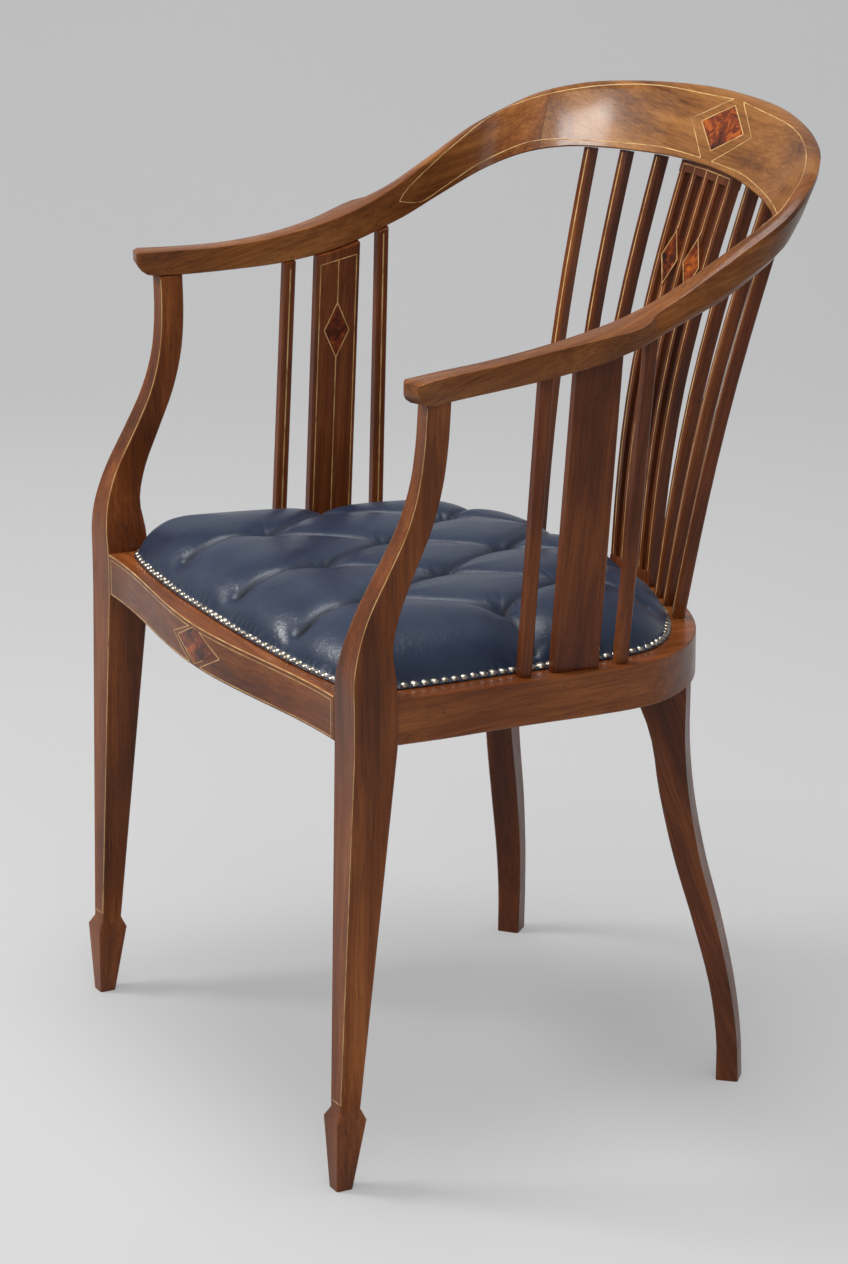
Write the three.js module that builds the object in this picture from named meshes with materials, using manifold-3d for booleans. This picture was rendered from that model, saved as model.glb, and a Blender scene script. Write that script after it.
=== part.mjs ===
// Inlaid open armchair with a bow-shaped arm and top rail, spindles all round, a pierced centre splat,
// a bow-fronted seat with a buttoned leather pad, spade feet in front and splayed legs behind.
// Millimetres. +Z is up, the chair faces -Y, and "left" is the sitter's left, +X.
// The origin is on the floor, under the middle of the chair.

import * as THREE from "three";
import { mergeVertices } from "three/addons/utils/BufferGeometryUtils.js";
import Module from "manifold-3d";

const wasm = await Module();
wasm.setup();

// Clearances
const jointGap = 0.3;            // between pieces that touch
const cutOverrun = 12;           // how far a cutting body reaches past the face it cuts
const wayDivisions = 1200;       // steps in which a curve's length is measured

// Seat frame
const seatHeight = 409.6;        // top of the rails over the origin
const seatFall = 0.0475;         // how much the seat falls towards the back, per unit of depth
const railHeight = 38.6;
const railWidth = 38;
const rebateInset = 31;          // from the rails' outer face to the step that holds the webbing
const padInset = 25;             // from the rails' outer face to the leather
const seatHalfWidth = 251;       // outer face of the side rails, at the front legs
const seatBack = 170;            // outer face of the back rail
const seatFront = 270;           // foremost point of the front rail
const frontBow = 20;             // how far the front rail's ends lie behind its middle
const strapThickness = 1.6;
const strapWidth = 50;
const strapPitch = 105;
const strapShift = 5;            // how far the middle cross strap lies behind the seat's middle
const clothThickness = 1.2;
const blockReach = 58;           // legs of the triangular front corner blocks
const blockHeight = 25;
const backBlockDepth = 30;
const backBlockLength = 90;

// Front legs, with the arm supports that grow out of them
const legWidth = 37;
const legDepth = 39;
const legStand = 8.6;            // how far the leg stands out past the side rail's face
const legRake = 25;              // how far the foot stands forward of the seat
const ankleSquare = 18.6;
const ankleHeight = 71.3;
const spadeSquare = 27;
const spadeHeight = 62.5;
const footSquare = 14.8;
const supportHeadWidth = 17.8;
const supportHeadDepth = 21.4;
const supportSweep = 56.2;       // how far the head of the support lies behind its foot
const supportPull = 3.6;         // how far the support's outer face draws in on the way up

// Back legs
const backLegInset = 5.2;        // from the rail's outer face to the outer face of the leg
const backLegTurn = 48;          // direction of the splay, in degrees from +X
const backLegSplay = 53.7;
const backLegDrift = -9;         // sideways drift of the foot against the head
const backLegWidth = 25;
const backLegDepth = 26;

// Bow: the two arms and the crest rail as one sweep
const bowInset = 11;             // how far the bow's inner edge lies inside the side rails' face
const armSetback = 66;           // how far the tips of the arms lie behind the front rail's face
const backLean = 52.5;           // how far the crest's lower edge lies behind the back rail's face
const armRise = 251.4;           // underside of the arms at the front, over the rails
const bowRise = 105.5;           // how much higher the crest's lower edge lies
const armThickness = 22;
const armWidth = 20;
const crestFace = 55.8;          // upright height of the crest's leaning face
const crestLean = 35.75;         // how far its upper edge lies behind the lower edge
const crestRoll = 7;             // rounding of the crest's upper edges
const crestHeel = 22;            // rounding of its lower outer edge
const topDrop = 3;               // how far the bow's top face falls outwards
const underLift = 11;            // how far its underside rises outwards
const tipLength = 17;
const tipCove = 10;
const noseLength = 4;

// Spindles, slats and splat
const spindleWidth = 10;
const spindleDepth = 10.5;
const sideSpindleWidth = 9.4;
const sideSpindleDepth = 11.1;
const slatWidth = 43.2;
const slatThickness = 9.8;
const slatSteps = 8;             // steps of the slat's head along the arm's curve
const sideFrontSetback = 131.3;  // feet of the side bars, behind the front legs' backs
const sideSlatSetback = 179.6;
const sideRearSetback = 226.3;
const sideBarSweep = 15.3;       // how far their heads lie behind their feet
const sideFootInset = 8;         // from the rail's outer face to the bars' outer face
const sideHeadReach = 6.8;       // from the arm's lower inner edge to the bars' outer face
const backFootInset = 14;        // from the rail's outer face to the back spindles' centre line
const backSag = 11;              // how far the back spindles bow towards the sitter
const splatHalfFoot = 29.6;      // outer bars' centre lines
const splatHalfHead = 38;
const splatFootInset = 10.7;     // from the rail's outer face to the bars' centre line
const splatHeadReach = 10.1;     // from the crest's lower inner edge to the bars' centre line
const splatSag = 15.4;
const barWidth = 8.7;
const barDepth = 10;
const splatHeadStrip = 10;
const splatFootStrip = 12;
const splatStep = 0.4;           // how far the splat's strips and lozenges stand proud of its bars

// Burr lozenges let into the wood
const inlayDepth = 1.2;
const crestInlayLong = 67;
const crestInlayShort = 43;
const railInlayLong = 69;
const railInlayShort = 31;
const slatInlayLong = 48;
const slatInlayShort = 23;
const slatInlayRise = 188.4;     // middle of the lozenge over the rails
const splatInlayLong = 46;
const splatInlayShort = 24;
const splatInlayRise = 272.4;
const crestInlayRise = 3;        // above the middle of the crest's face
const lozengeRim = 1.6;

// Leather pad
const padHeight = 45;
const padShoulder = 54;          // how far in from the nails the leather climbs
const padFrontInset = 24;        // from the front rail's face to the leather
const padLegGap = 10.6;          // between the leather and the front legs
const padFrontCurve = 19;        // how far its front edge falls back at the legs
const padCurvePower = 2.5;
const padEdge = 3;               // upright edge behind the nails
const tuftPitch = 106;
const tuftSetback = 120;         // first row of buttons, behind the front rail's face
const tuftRowPitch = 88;
const tuftDepth = 21;
const tuftRadius = 21;
const pleatDepth = 8;
const pleatRadius = 11;
const buttonRadius = 7;
const buttonRise = 3.5;
const buttonSides = 10;
const pocketDepth = 1.5;

// Softened arrises
const arris = 1.2;

// Sizes that follow
const legBack = seatFront - frontBow - legDepth;     // back face of the front leg at the seat
const legOuter = seatHalfWidth + legStand;           // outer face of the front leg at the seat
const legInner = legOuter - legWidth;
const seatDepth = seatBack + legBack;
const bowHalfWidth = seatHalfWidth - bowInset;
const bowFront = seatFront - armSetback;
const bowBack = seatBack + backLean;
const bowLength = bowFront + bowBack;
const armHeight = seatHeight + armRise;
const padFrontY = seatFront - padFrontInset;
const padFrontHalf = legInner - padLegGap;
const splatFoot = seatBack - splatFootInset;
const splatHead = bowBack + splatHeadReach;

// Shares: plan of the rails' outer edge, from the left front leg round to the middle of the back.
// Each row is a share of the half width and a share of the depth behind the leg.
const seatPlanShares = [
  [1, 0], [0.991, 0.133], [0.964, 0.312], [0.948, 0.499], [0.928, 0.618],
  [0.89, 0.702], [0.759, 0.823], [0.551, 0.918], [0.287, 0.978], [0, 1],
];
const sideRailShare = 0.366;     // where the side rail meets the back rail, of the whole way round
const backLegShare = 0.3385;     // where the back leg stands, of the whole way round
const padStartShare = 0.018;     // where the pad leaves the front legs
const frontFadeShare = 0.25;     // how deep into the pad its rows follow the front edge
const lastRowShare = 0.985;      // the pad's last row, of the whole way back

// Shares: the arm support, from the rail to the arm.
// Each row is height, sweep, narrowing, thinning and draw of the outer face.
const supportShares = [
  [0, 0, 0, 0, 0], [0.08, -0.01, 0.15, 0.04, 0.1], [0.18, 0, 0.42, 0.41, 0.2],
  [0.3, 0.156, 0.68, 0.6, 0.65], [0.44, 0.45, 0.76, 0.82, 0.85], [0.58, 0.74, 0.86, 0.95, 0.9],
  [0.715, 0.912, 0.97, 0.99, 0.95], [0.855, 0.985, 1, 1, 0.5], [1, 1, 1, 1, -0.28],
];

// Shares: the back leg, from the floor to the rail.
// Each row is height, splay of the outer face, depth and width.
const backLegShares = [
  [0, 1, 0.75, 0.82], [0.107, 0.965, 0.7, 0.86], [0.238, 0.838, 0.7, 0.95], [0.397, 0.59, 0.8, 1.03],
  [0.556, 0.29, 0.89, 1.02], [0.715, 0.08, 1, 0.99], [0.847, 0, 1.17, 0.95], [0.93, 0, 1.65, 0.92],
  [1, 0, 2.35, 0.92],
];

// Shares: the bow, from the tip of the left arm to the middle of the crest.
// Each row is half width, length, rise, face, lean, top width, under width, top tilt, under tilt and roll.
const bowShares = [
  [1.046, 0, -0.005, 0.01, 0, 1.2, 1.1, 0, 0.1, 0],
  [1.006, 0.087, 0.003, 0, 0.02, 1.02, 1.04, 0, 0.1, 0],
  [0.977, 0.197, 0.013, 0, 0, 1, 0.98, 0, 0.1, 0],
  [0.964, 0.309, 0.028, 0.09, 0, 1, 0.94, 0, 0.22, 0],
  [0.964, 0.422, 0.082, 0.17, 0, 1.36, 1.3, 0.3, 0.55, 0],
  [0.971, 0.494, 0.149, 0.2, 0, 1.69, 1.48, 0.8, 0.8, 0],
  [0.973, 0.511, 0.168, 0.22, 0, 1.66, 1.48, 0.9, 0.85, 0],
  [0.976, 0.532, 0.194, 0.24, 0, 1.2, 1.42, 0.8, 0.9, 0.1],
  [0.979, 0.553, 0.223, 0.27, 0, 1.02, 1.34, 0.8, 0.95, 0.2],
  [0.985, 0.607, 0.297, 0.37, 0, 0.88, 1.14, 1, 1, 0.3],
  [0.99, 0.692, 0.45, 0.51, 0.04, 0.78, 1.02, 1, 0.8, 0.5],
  [0.954, 0.793, 0.664, 0.64, 0.3, 0.76, 0.9, 0.6, 0.4, 0.85],
  [0.869, 0.854, 0.801, 0.8, 0.57, 0.7, 0.86, 0.1, 0, 1],
  [0.725, 0.91, 0.896, 0.9, 0.76, 0.67, 0.9, -0.3, -0.28, 1],
  [0.556, 0.949, 0.94, 0.96, 0.88, 0.66, 1, -0.5, -0.45, 1],
  [0.379, 0.976, 0.97, 0.99, 0.95, 0.68, 1.08, -0.7, -0.55, 1],
  [0.2, 0.994, 0.993, 1, 0.99, 0.7, 1.1, -0.75, -0.6, 1],
  [0, 1, 1, 1, 1, 0.7, 1.1, -0.75, -0.6, 1],
];
const crestJointShare = 0.653;   // where the arm meets the crest, of the way to the middle
const cornerShare = 0.45;        // the most of an edge that a small rounding may take
const heelShare = 0.8;           // and that the rounding of the lower outer edge may take

// Shares: the left back spindles. Each row is the foot's share of the rail's way to the middle, the head's share
// of the bow's way to the middle, the turn in degrees and the share of the sag.
const backSpindleShares = [
  [0.752, 0.735, 19.5, 0.68], [0.826, 0.803, 15, 0.93], [0.874, 0.875, 4, 1],
];

// Shares: half section of a button, as width and height.
const buttonShares = [[0.95, 0], [1, 0.35], [0.82, 0.75], [0.45, 1]];

// Materials
const mahogany = () => new THREE.MeshStandardMaterial({ color: 0x7a3f1d, roughness: 0.38, metalness: 0 });
const burr = () => new THREE.MeshStandardMaterial({ color: 0x8c3a14, roughness: 0.35, metalness: 0 });
const blockWood = () => new THREE.MeshStandardMaterial({ color: 0x9a7a4e, roughness: 0.7, metalness: 0 });
const navyLeather = () => new THREE.MeshStandardMaterial({ color: 0x1d2740, roughness: 0.42, metalness: 0 });
const webbing = () => new THREE.MeshStandardMaterial({ color: 0x8d7b5a, roughness: 0.9, metalness: 0 });
const hessian = () => new THREE.MeshStandardMaterial({ color: 0xa08a62, roughness: 0.95, metalness: 0 });

// Geometry helpers
const point = (x, y, z) => new THREE.Vector3(x, y, z);
const mix = THREE.MathUtils.lerp;

function signedVolume(positions, index) {
  let sum = 0;
  const corner = (i) => point(positions[3 * i], positions[3 * i + 1], positions[3 * i + 2]);
  for (let i = 0; i < index.length; i += 3) {
    const a = corner(index[i]);
    const b = corner(index[i + 1]);
    const c = corner(index[i + 2]);
    sum += a.dot(b.cross(c));
  }
  return sum;
}

// A geometry from points and triangles, turned so that its faces point out.
function body(points, index) {
  const positions = points.flatMap((p) => [p.x, p.y, p.z]);
  const inward = signedVolume(positions, index) < 0;
  const faces = inward ? index.slice().reverse() : index;
  const geometry = new THREE.BufferGeometry();
  geometry.setAttribute("position", new THREE.Float32BufferAttribute(positions, 3));
  geometry.setIndex(faces);
  return mergeVertices(geometry);
}

// A closed body through rings of equal, even length. Each end is closed by strips from side to side.
function loft(rings) {
  const count = rings[0].length;
  const last = (rings.length - 1) * count;
  const index = [];
  for (let r = 0; r < rings.length - 1; r++) {
    for (let i = 0; i < count; i++) {
      const a = r * count + i;
      const b = r * count + ((i + 1) % count);
      index.push(a, b, b + count, a, b + count, a + count);
    }
  }
  for (let i = 0; i < count / 2 - 1; i++) {
    const j = count - 1 - i;
    index.push(i, j, i + 1, i + 1, j, j - 1);
    index.push(last + i, last + i + 1, last + j, last + i + 1, last + j - 1, last + j);
  }
  return body(rings.flat(), index);
}

// A plate over an outline in plan, between two heights that follow the plan.
function plate(outline, lower, upper) {
  const count = outline.length;
  const points = [lower, upper].flatMap((height) => outline.map((p) => point(p.x, p.y, height(p.x, p.y))));
  const index = [];
  for (let i = 0; i < count; i++) {
    const j = (i + 1) % count;
    index.push(i, j, j + count, i, j + count, i + count);
  }
  for (const [a, b, c] of THREE.ShapeUtils.triangulateShape(outline, [])) {
    index.push(a, c, b, a + count, b + count, c + count);
  }
  return body(points, index);
}

// A section with softened corners. Each corner has a place, a rounding, the most that the rounding may take
// of the edges beside it, and its number of points.
function softened(corners) {
  return corners.flatMap(({ place, radius, share, count }, i) => {
    const before = corners[(i + corners.length - 1) % corners.length].place.clone().sub(place);
    const after = corners[(i + 1) % corners.length].place.clone().sub(place);
    before.setLength(Math.min(radius, before.length() * share));
    after.setLength(Math.min(radius, after.length() * share));
    return Array.from({ length: count }, (_, k) => {
      const t = k / (count - 1);
      return place.clone().addScaledVector(before, (1 - t) ** 2).addScaledVector(after, t ** 2);
    });
  });
}

// The plan of a square-cut bar with taken-off arrises, its long sides in as many steps as asked.
function barPlan(width, depth, steps = 1) {
  const w = width / 2;
  const d = depth / 2;
  const right = [new THREE.Vector2(w - arris, -d)];
  for (let i = 0; i <= steps; i++) right.push(new THREE.Vector2(w, mix(arris - d, d - arris, i / steps)));
  right.push(new THREE.Vector2(w - arris, d));
  const left = right.slice().reverse().map((p) => new THREE.Vector2(-p.x, p.y));
  return [...right, ...left];
}

// A smooth reading of a table whose first column is the place and whose others are values.
function reading(rows) {
  const width = rows[0].length - 1;
  const places = rows.map((row) => row[0]);
  const values = rows.flatMap((row) => row.slice(1));
  const cubic = new THREE.CubicInterpolant(places, values, width);
  return (place) => Array.from(cubic.evaluate(place));
}

// Joining and cutting
function solid(geometry) {
  const merged = mergeVertices(geometry);
  const mesh = new wasm.Mesh({
    numProp: 3,
    vertProperties: new Float32Array(merged.getAttribute("position").array),
    triVerts: new Uint32Array(merged.getIndex().array),
  });
  return new wasm.Manifold(mesh);
}

function geometryOf(manifold) {
  const mesh = manifold.getMesh();
  const geometry = new THREE.BufferGeometry();
  geometry.setAttribute("position", new THREE.Float32BufferAttribute(mesh.vertProperties, 3));
  geometry.setIndex(Array.from(mesh.triVerts));
  return geometry;
}

const joined = (geometries) => geometryOf(geometries.map(solid).reduce((a, b) => a.add(b)));
const cut = (geometry, tool) => geometryOf(solid(geometry).subtract(solid(tool)));
const common = (geometry, tool) => geometryOf(solid(geometry).intersect(solid(tool)));

function mirrored(geometry) {
  const flipped = geometry.clone();
  flipped.scale(-1, 1, 1);
  flipped.setIndex(Array.from(flipped.getIndex().array).reverse());
  return flipped;
}

// The chair as a group, filled by name
const chair = new THREE.Group();

function add(name, geometry, material) {
  const mesh = new THREE.Mesh(geometry, material());
  mesh.name = name;
  chair.add(mesh);
}

function addPair(name, geometry, material) {
  add(`${name}_left`, geometry, material);
  add(`${name}_right`, mirrored(geometry), material);
}

// Seat plan and heights
const railTop = (y) => seatHeight - seatFall * y;
const railBottom = (y) => railTop(y) - railHeight;

const seatPlan = (() => {
  const half = seatPlanShares.map(([x, y]) => point(x * seatHalfWidth, y * seatDepth - legBack, 0));
  const other = half.slice(0, -1).reverse().map((p) => point(-p.x, p.y, 0));
  const curve = new THREE.CatmullRomCurve3([...half, ...other], false, "centripetal");
  curve.arcLengthDivisions = wayDivisions;
  return curve;
})();

// A place on the rails' plan: share of the way round, and distance in from the outer edge.
function seatPlace(share, inset) {
  const edge = seatPlan.getPointAt(share);
  const along = seatPlan.getTangentAt(share);
  return new THREE.Vector2(edge.x - along.y * inset, edge.y + along.x * inset);
}

function seatShareAt(y, inset) {
  let low = 0;
  let high = 0.5;
  while (high - low > 1 / wayDivisions ** 2) {
    const middle = (low + high) / 2;
    if (seatPlace(middle, inset).y < y) low = middle;
    else high = middle;
  }
  return (low + high) / 2;
}

function frontLine(x) {
  const share = Math.min(Math.abs(x) / legInner, 1);
  return frontBow * (1 - Math.cos(Math.PI * share)) / 2 - seatFront;
}

const rebateDepth = 2 * strapThickness + clothThickness + 3 * jointGap;

// Section of a rail: distance in from the outer face, and height over its underside.
const railSection = [
  [arris, 0], [0, arris], [0, railHeight - arris], [arris, railHeight], [rebateInset, railHeight],
  [rebateInset, railHeight - rebateDepth], [railWidth, railHeight - rebateDepth], [railWidth, 0],
];

function railRing(placeAt) {
  return railSection.map(([inset, height]) => {
    const place = placeAt(inset);
    return point(place.x, place.y, railBottom(place.y) + height);
  });
}

function curvedRail(from, to, count) {
  const rings = [];
  for (let i = 0; i <= count; i++) {
    const share = mix(from, to, i / count);
    rings.push(railRing((inset) => {
      const place = seatPlace(share, inset);
      place.y = Math.max(place.y, jointGap - legBack);
      return place;
    }));
  }
  return loft(rings);
}

function frontRail() {
  const half = legInner - jointGap;
  const count = 28;
  const rings = [];
  for (let i = 0; i <= count; i++) {
    const x = mix(-half, half, i / count);
    rings.push(railRing((inset) => new THREE.Vector2(x, frontLine(x) + inset)));
  }
  return loft(rings);
}

// Bow
const bow = (() => {
  const half = bowShares.map(([x, y, rise, face, lean, top, under, topFall, underRise, roll]) => [
    x * bowHalfWidth, y * bowLength - bowFront, armHeight + rise * bowRise,
    mix(armThickness, crestFace, face), lean * crestLean, top * armWidth, under * armWidth,
    topFall * topDrop, underRise * underLift, mix(arris, crestRoll, roll), mix(arris, crestHeel, roll),
  ]);
  const whole = [...half, ...half.slice(0, -1).reverse().map(([x, ...rest]) => [-x, ...rest])];
  let run = 0;
  const placed = whole.map((row, i) => {
    if (i > 0) run += Math.hypot(row[0] - whole[i - 1][0], row[1] - whole[i - 1][1]);
    return [run, ...row];
  });
  return { length: run, at: reading(placed) };
})();

function bowStation(run) {
  const step = bow.length / wayDivisions;
  const [x, y, z, face, lean, top, under, topFall, underRise, roll, heel] = bow.at(run);
  const [x0, y0] = bow.at(Math.max(run - step, 0));
  const [x1, y1] = bow.at(Math.min(run + step, bow.length));
  const out = new THREE.Vector2(y1 - y0, x0 - x1).normalize();
  return { inner: point(x, y, z), out, face, lean, top, under, topFall, underRise, roll, heel };
}

// Section of the bow at a station, as distance out and height over the lower inner edge.
function bowSection({ face, lean, top, under, topFall, underRise, roll, heel }, lift) {
  const small = cornerShare;
  return softened([
    { place: new THREE.Vector2(0, lift), radius: arris, share: small, count: 2 },
    { place: new THREE.Vector2(lean, face), radius: roll, share: small, count: 3 },
    { place: new THREE.Vector2(lean + top, face - topFall), radius: roll, share: small, count: 3 },
    { place: new THREE.Vector2(under, underRise + lift), radius: heel, share: heelShare, count: 4 },
  ]);
}

function bowRing(run) {
  const station = bowStation(run);
  const fromTip = Math.min(run, bow.length - run);
  const lift = tipCove * Math.max(1 - fromTip / tipLength, 0) ** 2;
  const section = bowSection(station, lift);
  const nose = Math.sqrt(1 - Math.max(1 - fromTip / noseLength, 0) ** 2 / 2);
  const centre = section.reduce((sum, p) => sum.add(p), new THREE.Vector2()).divideScalar(section.length);
  return section.map((p) => {
    const q = p.clone().sub(centre).multiplyScalar(nose).add(centre);
    return point(
      station.inner.x + station.out.x * q.x,
      station.inner.y + station.out.y * q.x,
      station.inner.z + q.y,
    );
  });
}

function bowPiece(from, to, count, extra = []) {
  const runs = Array.from({ length: count + 1 }, (_, i) => mix(from, to, i / count));
  return loft([...runs, ...extra].sort((a, b) => a - b).map(bowRing));
}

const crestJoint = crestJointShare * bow.length / 2;

// Height of the bow's underside over a place in plan.
const underTrack = Array.from({ length: wayDivisions + 1 }, (_, i) => (
  bowStation(bow.length * i / wayDivisions)
));

function bowUnder(x, y) {
  let best = null;
  for (const station of underTrack) {
    const dx = x - station.inner.x;
    const dy = y - station.inner.y;
    const across = dx * station.out.x + dy * station.out.y;
    const along = Math.abs(dx * station.out.y - dy * station.out.x);
    const near = Math.abs(across) < 2 * railWidth;
    if (near && (best === null || along < best.along)) best = { along, across, station };
  }
  return best.station.inner.z + best.station.underRise * best.across / best.station.under;
}

// Upright bars between the rails and the bow
function upright({ foot, head, footPlan, headPlan, turn, sag, count }) {
  const angle = THREE.MathUtils.degToRad(turn);
  const centre = new THREE.Vector2();
  const place = (base, plan) => plan.clone().rotateAround(centre, angle).add(base);
  const feet = footPlan.map((p) => place(foot, p));
  const heads = headPlan.map((p) => place(head, p));
  const bottoms = feet.map((p) => railTop(p.y) + jointGap);
  const tops = heads.map((p) => bowUnder(p.x, p.y) - jointGap);
  const rings = [];
  for (let k = 0; k <= count; k++) {
    const share = k / count;
    const bow = sag * Math.sin(Math.PI * share);
    rings.push(feet.map((p, i) => point(
      mix(p.x, heads[i].x, share),
      mix(p.y, heads[i].y, share) - bow,
      mix(bottoms[i], tops[i], share),
    )));
  }
  return loft(rings);
}

// Bars between the side rails and the arms lean out and back a little.
function sideBar({ foot, head }, across, along, steps) {
  const plan = barPlan(across, along, steps);
  return upright({ foot, head, footPlan: plan, headPlan: plan, turn: 0, sag: 0, count: 4 });
}

// Foot and head of a side bar's centre line.
function sideEnds(footY, across) {
  const headY = footY + sideBarSweep;
  const footX = seatPlace(seatShareAt(footY, 0), 0).x - sideFootInset - across / 2;
  const headX = underTrack.find((station) => station.inner.y > headY).inner.x + sideHeadReach - across / 2;
  return { foot: new THREE.Vector2(footX, footY), head: new THREE.Vector2(headX, headY) };
}

// Frames for the lozenges: a centre, the long way, the short way and the way out of the wood.
function lozenge(frame, long, short, depth, margin) {
  const half = new THREE.Vector2(long / 2, short / 2);
  const side = half.length();
  const reachLong = half.x + margin * side / half.y;
  const reachShort = half.y + margin * side / half.x;
  const ring = (height) => [[1, 0], [0, 1], [-1, 0], [0, -1]].map(([a, b]) =>
    frame.centre.clone()
      .addScaledVector(frame.long, a * reachLong)
      .addScaledVector(frame.short, b * reachShort)
      .addScaledVector(frame.out, height));
  return loft([ring(-depth - margin), ring(cutOverrun)]);
}

function letIn(wood, frame, long, short, depth) {
  return {
    wood: cut(wood, lozenge(frame, long, short, depth, jointGap)),
    panel: common(wood, lozenge(frame, long, short, depth, 0)),
  };
}

// Front legs with arm supports
const legAxisX = legOuter - legWidth / 2;
const legAxisY = -legBack - legDepth / 2;

function frontLeg() {
  const railUnder = railBottom(legAxisY);
  const raked = (z) => legAxisY - legRake * (1 - z / railUnder);
  const ringAt = (z, width, depth) => barPlan(width, depth)
    .map((p) => point(legAxisX + p.x, raked(z) + p.y, z));
  const rings = [
    ringAt(0, footSquare, footSquare),
    ringAt(spadeHeight, spadeSquare, spadeSquare),
    ringAt(ankleHeight, ankleSquare, ankleSquare),
    ringAt(railUnder, legWidth, legDepth),
  ];
  const support = reading(supportShares);
  const start = railTop(legAxisY);
  const place = (share, i) => {
    const [sweep, narrowing, thinning, pull] = support(share);
    const width = mix(legWidth, supportHeadWidth, narrowing);
    const depth = mix(legDepth, supportHeadDepth, thinning);
    const p = barPlan(width, depth)[i];
    return point(legOuter - pull * supportPull - width / 2 + p.x, legAxisY + sweep * supportSweep + p.y, 0);
  };
  const corners = rings[0].map((_, i) => i);
  const heads = corners.map((i) => place(1, i));
  const count = 26;
  for (let k = 0; k <= count; k++) {
    rings.push(corners.map((i) => {
      const p = place(k / count, i);
      p.z = mix(start, bowUnder(heads[i].x, heads[i].y) - jointGap, k / count);
      return p;
    }));
  }
  return loft(rings);
}

// Splayed back legs
function backLeg() {
  const read = reading(backLegShares);
  const angle = THREE.MathUtils.degToRad(backLegTurn);
  const out = new THREE.Vector2(Math.cos(angle), Math.sin(angle));
  const side = new THREE.Vector2(-out.y, out.x);
  const head = seatPlace(backLegShare, backLegInset);
  const count = 24;
  const rings = [];
  for (let k = 0; k <= count; k++) {
    const share = k / count;
    const [splay, depthShare, widthShare] = read(share);
    const width = widthShare * backLegWidth;
    const depth = depthShare * backLegDepth;
    const reach = splay * backLegSplay - depth / 2;
    const drift = backLegDrift * (1 - share);
    rings.push(barPlan(depth, width).map((p) => {
      const x = head.x + out.x * (reach + p.x) + side.x * (drift + p.y);
      const y = head.y + out.y * (reach + p.x) + side.y * (drift + p.y);
      return point(x, y, share * (railBottom(y) - jointGap));
    }));
  }
  return loft(rings);
}

// Glue blocks in the corners of the seat frame
function frontBlock() {
  const inset = railWidth + jointGap;
  const startShare = seatShareAt(frontLine(legInner) + inset, inset);
  const corner = seatPlace(startShare, inset);
  const endShare = seatShareAt(corner.y + blockReach, inset);
  const outline = [];
  const count = 3;
  for (let i = 0; i <= count; i++) outline.push(seatPlace(mix(startShare, endShare, i / count), inset));
  for (let i = 0; i < count; i++) {
    const x = corner.x - blockReach * (1 - i / count);
    outline.push(new THREE.Vector2(x, frontLine(x) + inset));
  }
  return plate(outline, (x, y) => railBottom(y), (x, y) => railBottom(y) + blockHeight);
}

function backBlock() {
  const inner = railWidth + jointGap;
  const half = backBlockLength / 2 / seatPlan.getLength();
  const count = 6;
  const rings = [];
  for (let i = 0; i <= count; i++) {
    const share = mix(backLegShare - half, backLegShare + half, i / count);
    const near = seatPlace(share, inner);
    const far = seatPlace(share, inner + backBlockDepth);
    rings.push([
      point(near.x, near.y, railBottom(near.y)), point(near.x, near.y, railBottom(near.y) + blockHeight),
      point(far.x, far.y, railBottom(far.y) + blockHeight), point(far.x, far.y, railBottom(far.y)),
    ]);
  }
  return loft(rings);
}

// Back spindles
function backSpindle([footShare, headShare, turn, sagShare]) {
  const foot = seatPlace(footShare / 2, backFootInset);
  const station = bowStation(headShare * bow.length / 2);
  const head = new THREE.Vector2(station.inner.x, station.inner.y)
    .addScaledVector(station.out, station.under / 2);
  const plan = barPlan(spindleWidth, spindleDepth);
  const sag = backSag * sagShare;
  return upright({ foot, head, footPlan: plan, headPlan: plan, turn: -turn, sag, count: 10 });
}

// Pierced splat: five curved bars, a head and a foot strip, and two lozenges
const splatStart = railTop(splatFoot) + jointGap;
const splatEnd = bowUnder(0, splatHead) - jointGap;

function splatCentre(z) {
  const share = (z - splatStart) / (splatEnd - splatStart);
  return mix(splatFoot, splatHead, share) - splatSag * Math.sin(Math.PI * share);
}

const splatTop = (x, y) => bowUnder(x, y) - jointGap;
const splatBottom = (x, y) => railTop(y) + jointGap;

function splatBar(place) {
  const count = 12;
  const rings = [];
  for (let k = 0; k <= count; k++) {
    const share = k / count;
    const centre = mix(splatHalfFoot, splatHalfHead, share) * place;
    rings.push([[1, -1], [1, 1], [-1, 1], [-1, -1]].map(([a, b]) => {
      const x = centre + a * barWidth / 2;
      const back = b * barDepth / 2;
      const low = splatBottom(x, splatFoot + back) + splatFootStrip / 2;
      const high = splatTop(x, splatHead + back) - splatHeadStrip / 2;
      const z = mix(low, high, share);
      return point(x, splatCentre(z) + back, z);
    }));
  }
  return loft(rings);
}

// A strip across the bars, between two heights given over the plan.
function splatStrip(half, y, lower, upper) {
  const count = 12;
  const rings = [];
  for (let k = 0; k <= count; k++) {
    const x = mix(-half, half, k / count);
    rings.push([[lower, -1], [lower, 1], [upper, 1], [upper, -1]].map(([height, b]) => {
      const back = b * (barDepth / 2 + splatStep);
      const z = height(x, y + back);
      return point(x, splatCentre(z) + back, z);
    }));
  }
  return loft(rings);
}

function splatFrame(side) {
  const z = seatHeight + splatInlayRise;
  const share = (z - splatStart) / (splatEnd - splatStart);
  const x = side * mix(splatHalfFoot, splatHalfHead, share) / 2;
  const rise = splatInlayLong / 2;
  const up = point(0, splatCentre(z + rise) - splatCentre(z - rise), 2 * rise).normalize();
  const out = point(0, -up.z, up.y);
  const face = point(x, splatCentre(z), z).addScaledVector(out, barDepth / 2 + splatStep);
  return { centre: face, long: up, short: point(1, 0, 0), out };
}

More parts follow.
